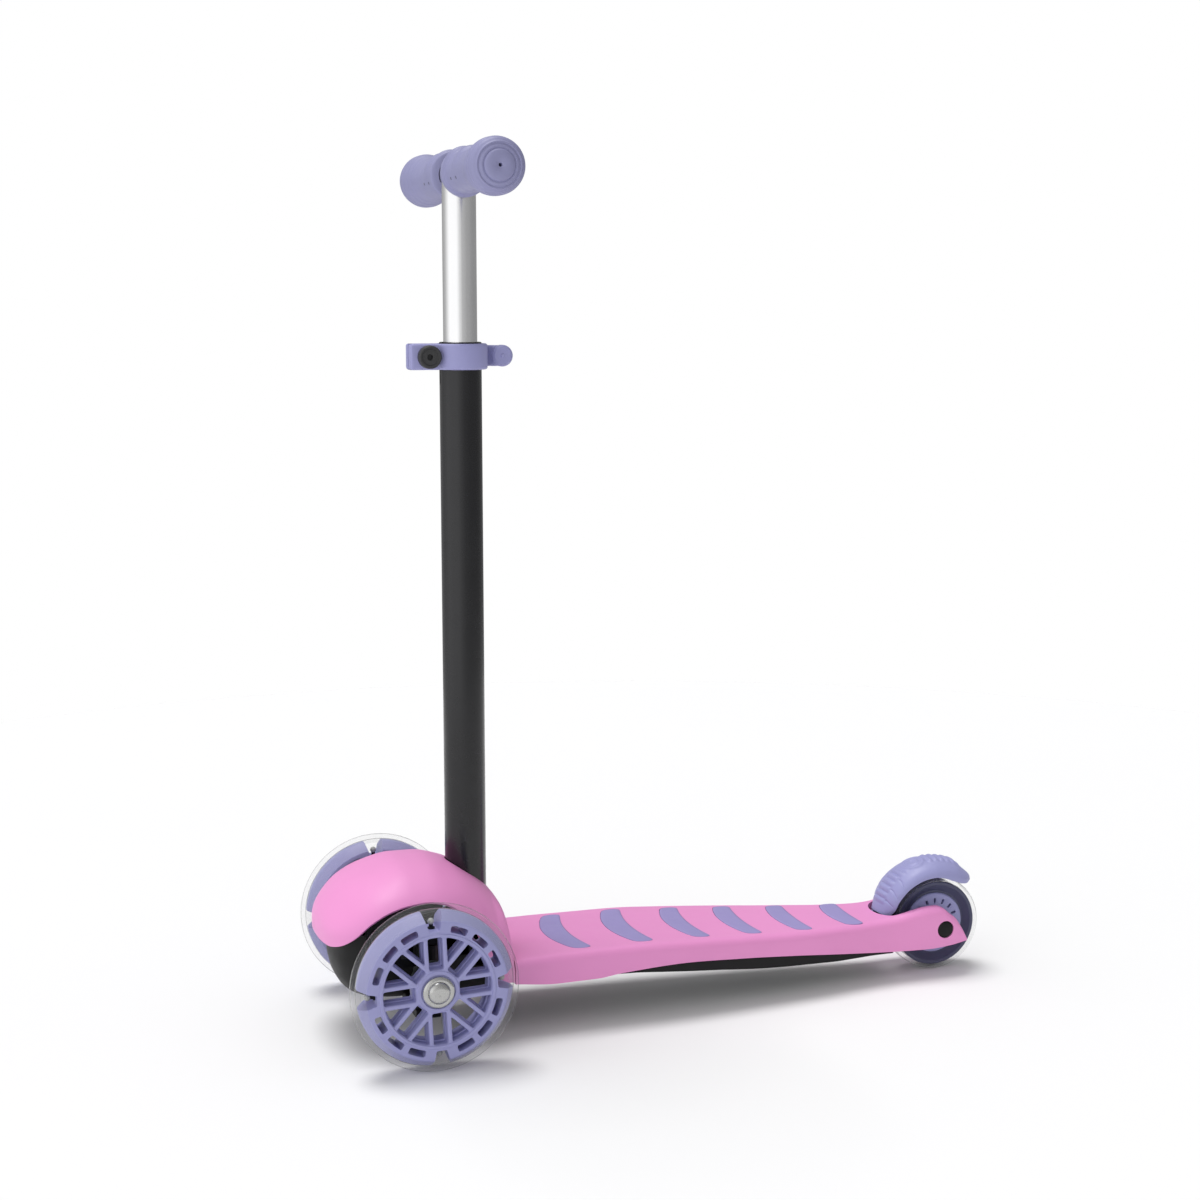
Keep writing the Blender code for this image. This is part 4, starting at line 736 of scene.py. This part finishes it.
def deck():
    """The foot board with its two arms, hollow below."""
    stations = span(70.6, 426, 110) + span(428, 444, 16) + span(445, 452, 14)
    board = skin("deck_board", [deck_section(d) for d in stations])
    hollow = skin("deck_hollow", [deck_section(d, DECK_WALL, 10) for d in span(74, 352, 60)])
    slot = plate("wheel_slot", [slot_plan(0.0)], 5, 80, "Z", 0.01)
    notch_half = TONGUE_HALF + 0.6
    notch = block("tongue_notch", (-notch_half, 60, 30), (notch_half, 76, TONGUE_HIGH + 0.6), 0.1)
    cut(board, hollow, slot, notch)
    bosses = []
    for x, distance, low in [(s * 26, 112, 41.3) for s in (1, -1)] + [(s * 18, 337, 32.4) for s in (1, -1)]:
        bosses.append(rod("boss", 5, (x, distance, low), 54 - low if distance < 200 else 16, "Z", 0.3))
    for x in (-34, -17, 17, 34):
        bosses.append(block("rib", (x - 0.9, 135, 44), (x + 0.9, 215, 57.2), 0.2))
    join(board, *bosses)
    recesses = [crescent_solid("recess", pad, 0.35, -PAD_DEPTH, 6) for pad in PADS]
    cut(board, *recesses)
    bores = [rod("axle_bore", 4.3, (-60, REAR_CENTRE[1], REAR_CENTRE[2]), 120)]
    bores.append(rod("pin_bore", 2.3, (-31, 387, 45), 57))
    for _, side in SIDES:
        start = min(side * 26.5, side * 36.5)
        bores.append(rod("cap_recess", 7.0, (start, REAR_CENTRE[1], REAR_CENTRE[2]), 10, "X", 0.2, 64))
    cut(board, *bores)
    piece(board, MATERIALS["pink"], "frame", "pink_plastic", "deck", sharp=38)


# ---------------------------------------------------------------- front wheels

NOTCH_TURN = 0.05
LIP_RADIUS = 40.4
SPOKE_SPREAD = 6.7
SPOKE_HALF = 1.55
PAIRS = 8


def radial(points, angle):
    """Turns points given as (outward, sideways) to an angle."""
    return [(u * cos(angle) - v * sin(angle), u * sin(angle) + v * cos(angle)) for u, v in points]


def pair_window(inset, low, high):
    """The parallel-sided window between the two spokes of a pair."""
    half = SPOKE_SPREAD - SPOKE_HALF - inset
    reach = asin(half / high)
    outer = [polar(high, a) for a in span(-reach, reach, 4)]
    return rounded([(low, half), (low, -half), *outer], 1.4)


def sector_window(inset, high):
    """The triangular window between two pairs."""
    half_sector = pi / PAIRS
    offset = SPOKE_SPREAD + SPOKE_HALF + inset
    apex = offset / sin(half_sector)
    reach = half_sector - asin(offset / high)
    outer = [polar(high, a) for a in span(-reach, reach, 5)]
    return rounded([(apex, 0), *outer], 1.3)


def spoke_layer(name, radius, inset, windows, depth, centre, bevel):
    """A disc pierced between the spokes, from (inner, outer) window radii and a (low, high) depth."""
    outlines = [arc(radius, 0, 2 * pi * 119 / 120, 119)]
    for i in range(PAIRS):
        angle = NOTCH_TURN + 2 * pi * i / PAIRS
        outlines.append(radial(pair_window(inset, *windows), angle))
        outlines.append(radial(sector_window(inset, windows[1]), angle + pi / PAIRS))
    return plate(name, outlines, *depth, "X", bevel, centre)


def rim(name, centre):
    """The barrel-shaped rim with its slots and its notches for the lamps."""
    half = [(39.0, 10.4), (39.4, 11.0), (41.0, 11.0), (41.6, 10.3)]
    half += [(49, 10.3), (50.2, 9.9), (55.2, 3.6), (55.8, 2.6)]
    body = lathe(name, half + [(r, -x) for r, x in reversed(half)], centre, "X", 1, 160)
    cutters = []
    for quarter in range(4):
        start = NOTCH_TURN + quarter * pi / 2
        for step in (-1, 0, 1):
            angle = start + pi / 4 + step * 0.385
            inner, outer = 42.6, 47.6
            outline = arc(inner, -0.14, 0.14, 4) + arc(outer, 0.14, -0.14, 4)
            cutters.append(
                plate("rim_slot", [radial(rounded(outline, 1.6, 3), angle)], -14, 14, "X", 0.01, centre)
            )
        notch = [(42.9, 3.6), (42.9, -3.6), (61, -8.6), (61, 8.6)]
        outline = radial(rounded(notch, 1.0, 3), start)
        cutters.append(plate("rim_notch", [outline], -14, 14, "X", 0.01, centre))
    return cut(body, *cutters)


def front_core(side, sign):
    centre = (sign * FRONT_CENTRE[0], *FRONT_CENTRE[1:])
    core = rim(f"wheel_core_{side}", centre)
    depth = sorted((-sign * 2.0, sign * 10.2))
    spokes = spoke_layer("spokes", LIP_RADIUS, 0.0, (15.6, 38.6), depth, centre, 0.9)
    web = spoke_layer("web", LIP_RADIUS - 0.4, 0.7, (17.2, 37.6), (-3.0, 3.0), centre, 0.6)
    hub_side = [(11.2, 9.2), (12.3, 10.9), (14.6, 10.9), (15.4, 10)]
    hub = lathe("hub", hub_side + [(r, -x) for r, x in reversed(hub_side)], centre)
    join(core, spokes, web, hub)
    bore = [(8.3, 12), (8.3, 3), (5.2, 3), (5.2, -3), (8.3, -3), (8.3, -12), (0, -12), (0, 12)]
    pocket_x = centre[0] - sign * 8
    pocket = lathe("pocket", [(17, 4), (17, -3), (11.5, -3), (11.5, 4)], (pocket_x, *centre[1:]), "X", -sign)
    cut(core, lathe("bore", bore, centre), pocket)
    piece(core, MATERIALS["lilac"], f"front_wheel_{side}", "lilac_plastic", f"front_core_{side}")


def lamp_part(name, profile, centre, side):
    """The same small turned shape standing in each of the four notches, from (radius, height) pairs."""
    parts = []
    for quarter in range(4):
        angle = NOTCH_TURN + quarter * pi / 2
        rings = []
        for radius, height in profile:
            ring = []
            for turn in span(0, 2 * pi * 23 / 24, 23):
                across, deep = polar(radius, turn)
                y, z = radial([(height, across)], angle)[0]
                ring.append((centre[0] + deep, y, centre[2] + z))
            rings.append(ring)
        parts.append(skin(name, rings))
    made = parts[0]
    made.name = f"{name}_{side}"
    return join(made, *parts[1:])


def lamps(side, sign):
    """The four small lamps in the rim's notches, each on a dark foot."""
    centre = (sign * FRONT_CENTRE[0], *FRONT_CENTRE[1:])
    foot = [(2.6, 42.6), (2.6, 43.8), (1.5, 44.4), (1.5, 46.6)]
    made = lamp_part("lamp_feet", foot, centre, side)
    piece(made, MATERIALS["black"], f"front_wheel_{side}", "black_plastic")
    lens = [(2.35 * cos(a), 48 + 2.35 * sin(a)) for a in span(-pi / 2 + 0.02, pi / 2 - 0.02, 12)]
    made = lamp_part("lamp_lenses", lens, centre, side)
    piece(made, MATERIALS["lamp"], f"front_wheel_{side}", "light_board")


def tyre(name, half_outer, half_inner, centre, body, node):
    """A clear band: half_outer and half_inner run from the side to the middle plane."""
    outer = half_outer + [(r, -x) for r, x in reversed(half_outer)]
    inner = half_inner + [(r, -x) for r, x in reversed(half_inner)]
    made = lathe(name, outer + inner[::-1], centre, "X", 1, 160)
    piece(made, MATERIALS["clear"], body, "clear_tyre", node)


def front_wheels():
    outer = [(51, 10.6), (53.2, 10.9), (55.2, 10.4), (57.2, 9), (58.8, 6.8), (59.7, 4.2), (59.99, 1.6)]
    inner = [(50.6, 10.2), (55.6, 3.9), (56.2, 2.8)]
    for side, sign in SIDES:
        centre = (sign * FRONT_CENTRE[0], *FRONT_CENTRE[1:])
        front_core(side, sign)
        lamps(side, sign)
        tyre(f"wheel_tyre_{side}", outer, inner, centre, f"front_wheel_{side}", f"front_tyre_{side}")
        for place, offset in (("outer", 1), ("inner", -1)):
            node = f"front_bearing_{place}_{side}"
            bearing(node, (centre[0] + sign * offset * 5.8, *centre[1:]), f"front_wheel_{side}")
        hub_cap(side, sign)


def bearing(node, centre, body):
    """A ball bearing with its shield set back between two rings."""
    half = [(7.9, 2.1), (7.7, 2.4), (6.9, 2.4), (6.8, 1.9), (5.4, 1.9), (5.3, 2.4), (4.5, 2.4), (4.35, 2.2)]
    made = lathe(f"{node}_rings", half + [(r, -x) for r, x in reversed(half)], centre, "X", 1, 64)
    piece(made, MATERIALS["steel"], body, "fastener_steel", node)


def hub_cap(side, sign):
    """The axle bolt with its domed head."""
    face = 39.3
    profile = [(0, face + 3.85), (0.9, face + 3.9), (1.8, face + 4.1), (3.8, face + 4.1), (5.8, face + 3.7)]
    profile += [(7.0, face + 3.0), (7.7, face + 1.9), (8.0, face + 1.1)]
    profile += [(9.2, face + 1.3), (10.4, face + 0.95)]
    profile += [(11.2, face + 0.1), (11.2, face - 0.5), (10.4, face - 0.8), (9.4, face - 1.2)]
    profile += [(9.2, face - 1.5), (4, face - 1.5), (4, 7.4), (3.6, 7), (0, 7)]
    made = lathe(f"axle_bolt_{side}", profile, (sign * 70, 0, FRONT_CENTRE[2]), "X", sign, 96)
    piece(made, MATERIALS["steel"], f"knuckle_{side}", "fastener_steel", f"front_axle_{side}")


# ---------------------------------------------------------------- rear wheel


def rear_wheel():
    rim_half = [(24.4, 6.4), (26, 6.2), (29.5, 8.2), (31.2, 9.8), (33.4, 10), (34, 9.5)]
    # The rim between the lilac disc and the tyre is painted dark: painted shade for the fender's shadow
    # falling into the wheel's dish
    made = lathe("rear_rim", rim_half + [(r, -x) for r, x in reversed(rim_half)], REAR_CENTRE, "X", 1, 128)
    piece(made, MATERIALS["dark_and_painted_shade"], "rear_wheel", "lilac_plastic", "rear_core")
    disc_half = [(8.3, 9), (9.5, 9.4), (13, 9.4), (14, 8.9), (22, 8.9), (23.6, 8.4), (24.3, 7.4)]
    disc = lathe("rear_disc", disc_half + [(r, -x) for r, x in reversed(disc_half)], REAR_CENTRE, "X", 1, 96)
    shoulder = lathe("shoulder", [(9, 2.9), (9, -2.9), (5.2, -2.9), (5.2, 2.9)], REAR_CENTRE)
    join(disc, shoulder)
    slots = []
    for i in range(16):
        outline = rounded([(16, 0.9), (16, -0.9), (20.2, -1.1), (20.2, 1.1)], 0.7, 2)
        slots.append(plate("disc_slot", [radial(outline, 2 * pi * i / 16)], -14, 14, "X", 0.01, REAR_CENTRE))
    cut(disc, *slots)
    piece(disc, MATERIALS["lilac"], "rear_wheel", "lilac_plastic")
    outer = [(34.6, 11.2), (35.6, 11.8), (36.8, 11), (37.6, 8.6), (37.99, 5)]
    tyre("rear_tyre_band", outer, [(34.4, 10.8), (34.4, 5)], REAR_CENTRE, "rear_wheel", "rear_tyre")
    for side, sign in SIDES:
        bearing(f"rear_bearing_{side}", (sign * 5.8, *REAR_CENTRE[1:]), "rear_wheel")
        cap = lathe(
            f"rear_axle_cap_{side}",
            [(0, 2.3), (4.8, 2.2), (6.1, 1.7), (6.75, 0.9), (6.75, 0.35), (0, 0.35)],
            (sign * 26.5, *REAR_CENTRE[1:]),
            "X",
            sign,
        )
        piece(cap, MATERIALS["black"], "frame", "black_plastic", f"rear_cap_{side}")


# ---------------------------------------------------------------- brake fender

# Angle round the rear axle, radii of the side's lower edge and of the crown, and half width
FENDER = [
    (46, 43.2, 47.8, 8),
    (50, 40.8, 48.9, 12.5),
    (56, 39, 49.3, 16),
    (63, 37.8, 50.2, 18),
    (72, 37.7, 51.5, 19),
    (83, 38.8, 51.7, 19.5),
    (95, 40.3, 52, 19.7),
    (108, 41.2, 51.9, 19.7),
    (122, 42, 51.7, 19.7),
    (136, 42.5, 51.5, 19.5),
    (148, 42.3, 50.9, 18.4),
    (158, 41.2, 50.5, 16.3),
    (166, 42.5, 50.4, 13.5),
]
TREAD_PITCH = 6.0
RING_ANGLE = 109.0


def fender_relief(angle, x, radius):
    """Height of the raised tread steps, the oval ring and the side grooves over the plain crown."""
    along_crown = (angle - RING_ANGLE) * pi / 180 * radius
    oval = hypot(along_crown / 8.4, x / 9.6)
    ring = 1.1 * exp(-(((oval - 1) / 0.16) ** 2)) + 0.9 * exp(-(((oval - 0.45) / 0.2) ** 2))
    step = ((angle - 62) / TREAD_PITCH) % 1.0
    tread = 1.5 * (0.5 - 0.5 * cos(2 * pi * step)) ** 0.55
    ends = min(1.0, max(0.0, (angle - 62) / 6)) * min(1.0, max(0.0, (160 - angle) / 8))
    middle_band = 1 / (1 + exp((abs(x) - 8.5) / 0.6))
    clear_of_ring = 1 - exp(-((oval / 1.45) ** 8))
    groove = 0.0
    for start in (130, 142, 153):
        bend = start + 4.5 * ((abs(x) - 10) / 8) ** 2
        near = exp(-(((angle - bend) / 0.8) ** 2))
        groove += 0.7 * near * (8.5 < abs(x) < 18)
    return ring + tread * ends * middle_band * clear_of_ring - groove


def fender_ring(degrees):
    """A round-shouldered channel section, open towards the wheel."""
    angle = radians(degrees)
    low, high, half = (smooth([(row[0], row[i]) for row in FENDER], degrees) for i in (1, 2, 3))
    wall = 2.6
    rise = (high - low) * 0.93
    outer = [(half - 0.5, low), (half, low + 0.4)]
    outer += [(half * cos(a) ** 0.92, high - rise * (1 - sin(a) ** 0.92)) for a in span(0, pi / 2, 40)]
    outer[-1] = (0.0, high)
    full = outer + [(-x, r) for x, r in reversed(outer[:-1])]
    ceiling = low + min(1.6, (high - low) * 0.2)
    inner = [(half - wall, low), (half - wall, ceiling)]
    points = []
    for x, radius in full:
        weight = min(1.0, max(0.0, (radius - (high - rise)) / (rise * 0.5)))
        points.append((x, radius + fender_relief(degrees, x, radius) * weight))
    points += [(-x, r) for x, r in inner] + [(x, r) for x, r in reversed(inner)]
    made = []
    for x, radius in points:
        y, z = polar(radius, angle)
        made.append((x, REAR_CENTRE[1] + y, REAR_CENTRE[2] + z))
    return made


# Height of each flat slice of the foot, its front and its half width, all raised by the lift.
# The slices have to stay flat: the union with the guard fails on uneven ones
BOOT_LIFT = 0.3
BOOT = [
    (42, SLOT_FRONT + 0.3, 20.2),
    (50.2, SLOT_FRONT + 0.3, 20.2),
    (50.9, 382.1, 19.6),
    (51.8, 383.1, 18.8),
    (53, 384.2, 18.2),
    (55, 385.6, 17.7),
    (57, 387.1, 17.3),
    (60, 389.3, 17.2),
    (63, 391.9, 17.2),
]


def fender():
    """The mudguard that a foot presses onto the tyre, with its foot in the deck's slot."""
    guard = skin("brake_guard", [fender_ring(a) for a in span(46, 166, 200)])
    boot_rings = []
    for z, front, half in BOOT:
        plan = slot_plan(0.0, front, half, 12.0, 397.5)
        boot_rings.append([(x, y, z + BOOT_LIFT) for x, y in plan])
    boot = skin("boot", boot_rings)
    hinge = rod("hinge", 4, (-8, 387, 45), 16)
    join(guard, boot, hinge)
    bore = rod("pin_hole", 2.3, (-40, 387, 45), 80)
    clearance = rod("wheel_space", REAR_RADIUS + 2.7, (-13.9, *REAR_CENTRE[1:]), 27.8, "X", 0.4, 128)
    pocket = block("spring_pocket", (-5, 382.6, 36), (5, 391.4, 49.4), 0.3)
    cut(guard, bore, clearance, pocket)
    piece(guard, MATERIALS["lilac"], "brake", "lilac_plastic", "brake_fender", sharp=40)


# ---------------------------------------------------------------- column, clamp and handlebar


def tube(name, outer, inner, low, high, bevel=0.4):
    profile = [(outer - bevel, high), (outer, high - bevel), (outer, low + bevel), (outer - bevel, low)]
    profile += [(inner, low), (inner, high)]
    return lathe(name, profile, (0, COLUMN_BEHIND, 0), "Z", 1, 96)


def column():
    low, high = (value.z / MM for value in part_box("outer_tube"))
    high = COLLAR_HIGH + 1.0
    outer = tube("column_tube", OUTER_TUBE_RADIUS, 13.7, low, high)
    slit = block("slit", (-1, COLUMN_BEHIND - 20, high - 30), (1, COLUMN_BEHIND, high + 5), 0.1)
    cut(outer, slit, rod("bolt_hole", 2.4, (-30, COLUMN_BEHIND, 76), 60))
    piece(outer, MATERIALS["paint"], "steering_head", "black_paint", "outer_tube")
    low, high = (value.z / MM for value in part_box("inner_tube"))
    inner = tube("sliding_tube", INNER_TUBE_RADIUS, 11, low, BAR_HEIGHT)
    saddle = rod("saddle", CROSSBAR_RADIUS + 0.2, (-30, COLUMN_BEHIND, BAR_HEIGHT), 60)
    cut(inner, saddle)
    piece(inner, MATERIALS["chrome"], "handlebar", "polished_tube", "inner_tube")
    reach = extent("crossbar").x / 2
    bar_half = [(CROSSBAR_RADIUS, reach - 0.4), (CROSSBAR_RADIUS - 0.4, reach)]
    bar_profile = [(9.5, reach), *reversed(bar_half), *[(r, -x) for r, x in bar_half], (9.5, -reach)]
    bar = lathe("cross_tube", bar_profile, (0, COLUMN_BEHIND, BAR_HEIGHT), "X", 1, 96)
    piece(bar, MATERIALS["chrome"], "handlebar", "polished_tube", "crossbar")


GRIP = [(12.8, 12.4), (13.0, 14.4), (13.8, 16.4), (15.2, 17), (18.2, 17), (19.6, 16.6), (20.8, 15.4)]
GRIP += [(22.5, 14.8), (62, 14.7), (72, 15.6), (83, 17.6), (91, 19.1), (97, 19.6), (103, 19.5)]
GRIP += [(106.2, 18.8), (108.2, 17.6), (109.1, 16.4)]


VENT_ANGLE = pi * 1.11


def grip_radius(x, angle):
    """Radius of the grip, with rings round its bulb and two raised bands on top."""
    radius = smooth(GRIP, x)
    for ring, depth in ((78, 0.4), (85, 0.5), (92, 0.6), (98.5, 0.65), (104, 0.65)):
        radius -= depth * exp(-(((x - ring) / 0.75) ** 2))
    upward = max(0.0, sin(angle)) ** 1.5
    for band, height, width in ((22, 2.0, 4), (42, 2.8, 5.5)):
        radius += height * upward * exp(-(((x - band) / width) ** 4))
    return radius


def grip(side, sign):
    """A soft sleeve with a round bulb, stepped rings on its end face and a small vent."""
    steps = 96
    face = [(16.0, 109.6), (15.6, 110.4), (15.0, 110.5), (14.4, 110.1), (13.4, 110.6), (12.8, 111.3)]
    face += [(11.8, 111.4), (11.0, 111.0), (10.2, 112.1), (9.6, 112.7)]
    face += [(6, 112.8), (1.5, 112.8), (1.2, 112.5)]
    back = [(1.2, 100.6), (11.3, 100.6), (11.3, 12.8)]
    rings = []
    for i in range(steps):
        angle = 2 * pi * i / steps
        along_grip = span(12.8, 24, 28) + span(24.8, 60, 60) + span(61, 109, 110)
        ring = [(grip_radius(x, angle), x) for x in along_grip] + face + back
        rings.append(
            [
                (sign * x, COLUMN_BEHIND + r * cos(angle), BAR_HEIGHT + r * sin(angle))
                for r, x in ring
            ]
        )
    made = skin(f"hand_grip_{side}", rings, caps=False, closed=True, loop=True)
    piece(made, MATERIALS["grip"], "handlebar", "grip_rubber", f"grip_{side}", sharp=50)
    vents = []
    for x in (33, 47):
        y, z = polar(grip_radius(x, VENT_ANGLE) - 1.6, VENT_ANGLE)
        vents.append(vent((sign * x, COLUMN_BEHIND + y, BAR_HEIGHT + z)))
    join(*vents)
    vents[0].name = f"grip_vents_{side}"
    piece(vents[0], MATERIALS["dark_and_painted_shade"], "handlebar", "grip_rubber")


def vent(foot):
    """A small dark plug that stands out of a grip's lower front."""
    rings = []
    for radius, height in ((1.2, 0), (1.2, 1.5), (0.9, 1.75)):
        ring = []
        for turn in span(0, 2 * pi * 15 / 16, 15):
            across, along = polar(radius, turn)
            y, z = radial([(height, across)], VENT_ANGLE)[0]
            ring.append((foot[0] + along, foot[1] + y, foot[2] + z))
        rings.append(ring)
    return skin("grip_vent", rings)


COLLAR_LOW, COLLAR_HIGH = (value.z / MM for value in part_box("clamp_collar"))
CLAMP_HEIGHT = (COLLAR_LOW + COLLAR_HIGH) / 2
CLAMP_BOLT_BEHIND = 22.0
EAR_HALF, EAR_FRONT = 9.0, 9.0
COLLAR_RADIUS = 19.5
LEVER_X = -16.0


def clamp():
    """The split collar with its ears, the nut on its left and the lever curled round its right."""
    gap = 1.2
    centre = (0, COLUMN_BEHIND)
    meet = asin(EAR_HALF / COLLAR_RADIUS)
    bore = OUTER_TUBE_RADIUS + 0.4
    slit = asin(gap / bore)
    outline = [(gap, EAR_FRONT), (EAR_HALF, EAR_FRONT, 2.5)]
    outline += [(x, y, 0.6) for x, y in arc(COLLAR_RADIUS, -pi / 2 + meet, 1.5 * pi - meet, 60, centre)]
    outline += [(-EAR_HALF, EAR_FRONT, 2.5), (-gap, EAR_FRONT)]
    outline += [(x, y, 0) for x, y in arc(bore, 1.5 * pi - slit, -pi / 2 + slit, 60, centre)]
    collar = plate("column_collar", [rounded(outline, 0.4, 3)], COLLAR_LOW, COLLAR_HIGH, "Z", 1.7)
    hole = rod("bolt_hole", 2.6, (-30, CLAMP_BOLT_BEHIND, CLAMP_HEIGHT), 60)
    cut(collar, hole)
    piece(collar, MATERIALS["lilac"], "steering_head", "lilac_plastic", "clamp_collar")
    nut = [(0, 1.6), (2, 1.6), (2.1, 4.7), (2.6, 5.1), (5.6, 5.1), (6.2, 5.9), (7.4, 6), (8.2, 5.2)]
    nut += [(8.3, 0.6), (7.9, 0), (0, 0)]
    nut_solid = lathe(
        "adjusting_nut", nut, (EAR_HALF + 0.3, CLAMP_BOLT_BEHIND, CLAMP_HEIGHT), "X", 1, 96
    )
    piece(nut_solid, MATERIALS["nut"], "steering_head", "black_plastic", "clamp_nut")
    bolt = rod("clamp_screw", 2.3, (LEVER_X, CLAMP_BOLT_BEHIND, CLAMP_HEIGHT), EAR_HALF + 1 - LEVER_X)
    piece(bolt, MATERIALS["steel"], "steering_head", "fastener_steel", "clamp_bolt")
    lever()


def lever():
    half_height = 7.5
    path = [(LEVER_X, 22), (-21.5, 27.5), (-24.5, 34), (-25.6, 41), (-25.4, 48), (-23.8, 55), (-20.6, 62)]
    path += [(-16.8, 68.5), (-12.4, 73.4), (-7, 77)]
    left, right = [], []
    for i, (x, y) in enumerate(path):
        before, after = path[max(i - 1, 0)], path[min(i + 1, len(path) - 1)]
        ahead = Vector((after[0] - before[0], after[1] - before[1])).normalized()
        width = 3.5
        left.append((x - ahead.y * width, y + ahead.x * width))
        right.append((x + ahead.y * width, y - ahead.x * width))
    outline = rounded(left + right[::-1], 2.5)
    bar = plate("lever_bar", [outline], CLAMP_HEIGHT - half_height, CLAMP_HEIGHT + half_height, "Z", 1.4)
    hub = rod("hub", 6.3, (LEVER_X, CLAMP_BOLT_BEHIND, CLAMP_HEIGHT - half_height), 15, "Z", 1.0)
    tip = rod("tip", 7.8, (-11, 80, CLAMP_HEIGHT), 7.5, "X", 1.6, 64)
    rivet = rod("rivet", 1.7, (-5, 80, CLAMP_HEIGHT), 2.2, "X", 0.5, 32)
    join(bar, hub, tip, rivet)
    fork = rod("fork", 8, (LEVER_X, CLAMP_BOLT_BEHIND, CLAMP_HEIGHT - 3.6), 7.2, "Z", 0.1)
    hole = rod("hole", 2.1, (LEVER_X, CLAMP_BOLT_BEHIND, CLAMP_HEIGHT - 10), 20, "Z", 0.1)
    cut(bar, fork, hole)
    piece(bar, MATERIALS["lilac"], "clamp_lever", "lilac_plastic", "clamp_lever")


# ---------------------------------------------------------------- carried-over CAD nodes

STEEL_NODES = ("pin", "spring", "screw", "axle", "spacer", "bolt")


def finish_cad_nodes():
    """Gives each CAD node that still shows its procedural material."""
    for name, obj in frame["nodes"].items():
        if obj.hide_render:
            continue
        key = "black"
        if any(word in name for word in STEEL_NODES):
            key = "steel"
        if name.startswith("light_ring"):
            key = "board"
        obj.data.materials.clear()
        obj.data.materials.append(MATERIALS[key])


# ---------------------------------------------------------------- stage


def camera():
    data = bpy.data.cameras.new("camera")
    data.sensor_width = 36
    data.lens = 61.41
    obj = bpy.data.objects.new("camera", data)
    bpy.context.scene.collection.objects.link(obj)
    azimuth, elevation = radians(71.935), radians(8.542)
    back = Vector((sin(azimuth) * cos(elevation), -cos(azimuth) * cos(elevation), sin(elevation)))
    obj.location = (1.4365, -0.5181, 0.539)
    obj.rotation_euler = back.to_track_quat("Z", "Y").to_euler()
    bpy.context.scene.camera = obj


def sun(name, elevation, azimuth, angle, strength):
    """A soft parallel light that comes from a height and a compass direction in degrees."""
    data = bpy.data.lights.new(name, "SUN")
    data.angle = radians(angle)
    data.energy = strength
    obj = bpy.data.objects.new(name, data)
    bpy.context.scene.collection.objects.link(obj)
    up, turn = radians(elevation), radians(azimuth)
    source = Vector((cos(up) * cos(turn), cos(up) * sin(turn), sin(up)))
    obj.rotation_euler = source.to_track_quat("Z", "Y").to_euler()


FLOOR_REACH = 1.3


def floor():
    """A small white table, bright enough in the light to merge with the white behind it."""
    outline = [Vector((x, y, 0)) for x, y in arc(FLOOR_REACH, 0, 2 * pi * 95 / 96, 95)]
    mesh = bpy.data.meshes.new("floor")
    mesh.from_pydata(outline, [], [tuple(range(len(outline)))])
    obj = bpy.data.objects.new("floor", mesh)
    bpy.context.scene.collection.objects.link(obj)
    made = Nodes("floor_white")
    made.colours(made.noise(2), (0.90, 0.90, 0.90), (0.91, 0.91, 0.91))
    made.set(Roughness=0.9, Specular_IOR_Level=0.1)
    mesh.materials.append(made.material)


# The compass direction of the bright side, and the tone from right behind the object to right before it
SOFTBOX_TURN = -62.0
STUDIO_TONES = [(0.0, 0.34), (0.4, 0.44), (0.7, 0.58), (0.82, 0.9), (0.95, 1.35)]


def world():
    """A grey studio with one wide bright side, and plain white where the camera looks past."""
    surround = bpy.data.worlds.new("studio")
    bpy.context.scene.world = surround
    surround.use_nodes = True
    tree = surround.node_tree
    background = tree.nodes["Background"]
    place = tree.nodes.new("ShaderNodeTexCoord")
    facing = tree.nodes.new("ShaderNodeVectorMath")
    facing.operation = "DOT_PRODUCT"
    turn = radians(SOFTBOX_TURN)
    facing.inputs[1].default_value = (cos(turn), sin(turn), 0)
    tree.links.new(place.outputs["Generated"], facing.inputs[0])
    spread = tree.nodes.new("ShaderNodeMapRange")
    spread.inputs["From Min"].default_value = -1
    tree.links.new(facing.outputs["Value"], spread.inputs["Value"])
    studio = tree.nodes.new("ShaderNodeValToRGB")
    studio.color_ramp.interpolation = "EASE"
    for _ in STUDIO_TONES[2:]:
        studio.color_ramp.elements.new(0.5)
    for stop, (position, tone) in zip(studio.color_ramp.elements, STUDIO_TONES):
        stop.position = position
        stop.color = (tone, tone, tone * 1.01, 1)
    tree.links.new(spread.outputs["Result"], studio.inputs["Fac"])
    path = tree.nodes.new("ShaderNodeLightPath")
    seen = tree.nodes.new("ShaderNodeMix")
    seen.data_type = "RGBA"
    seen.inputs["B"].default_value = (1, 1, 1, 1)
    tree.links.new(path.outputs["Is Camera Ray"], seen.inputs["Factor"])
    tree.links.new(studio.outputs["Color"], seen.inputs["A"])
    tree.links.new(seen.outputs["Result"], background.inputs["Color"])


def stage():
    bpy.context.scene.view_settings.view_transform = "Standard"
    camera()
    floor()
    world()
    sun("overhead", 76, -150, 26, 1.75)


# ---------------------------------------------------------------- assembly

MATERIALS = make_materials()
stage()
hood()
tub()
deck()
tray()
pads()
front_wheels()
rear_wheel()
fender()
column()
for side_name, side_sign in SIDES:
    grip(side_name, side_sign)
clamp()
finish_cad_nodes()
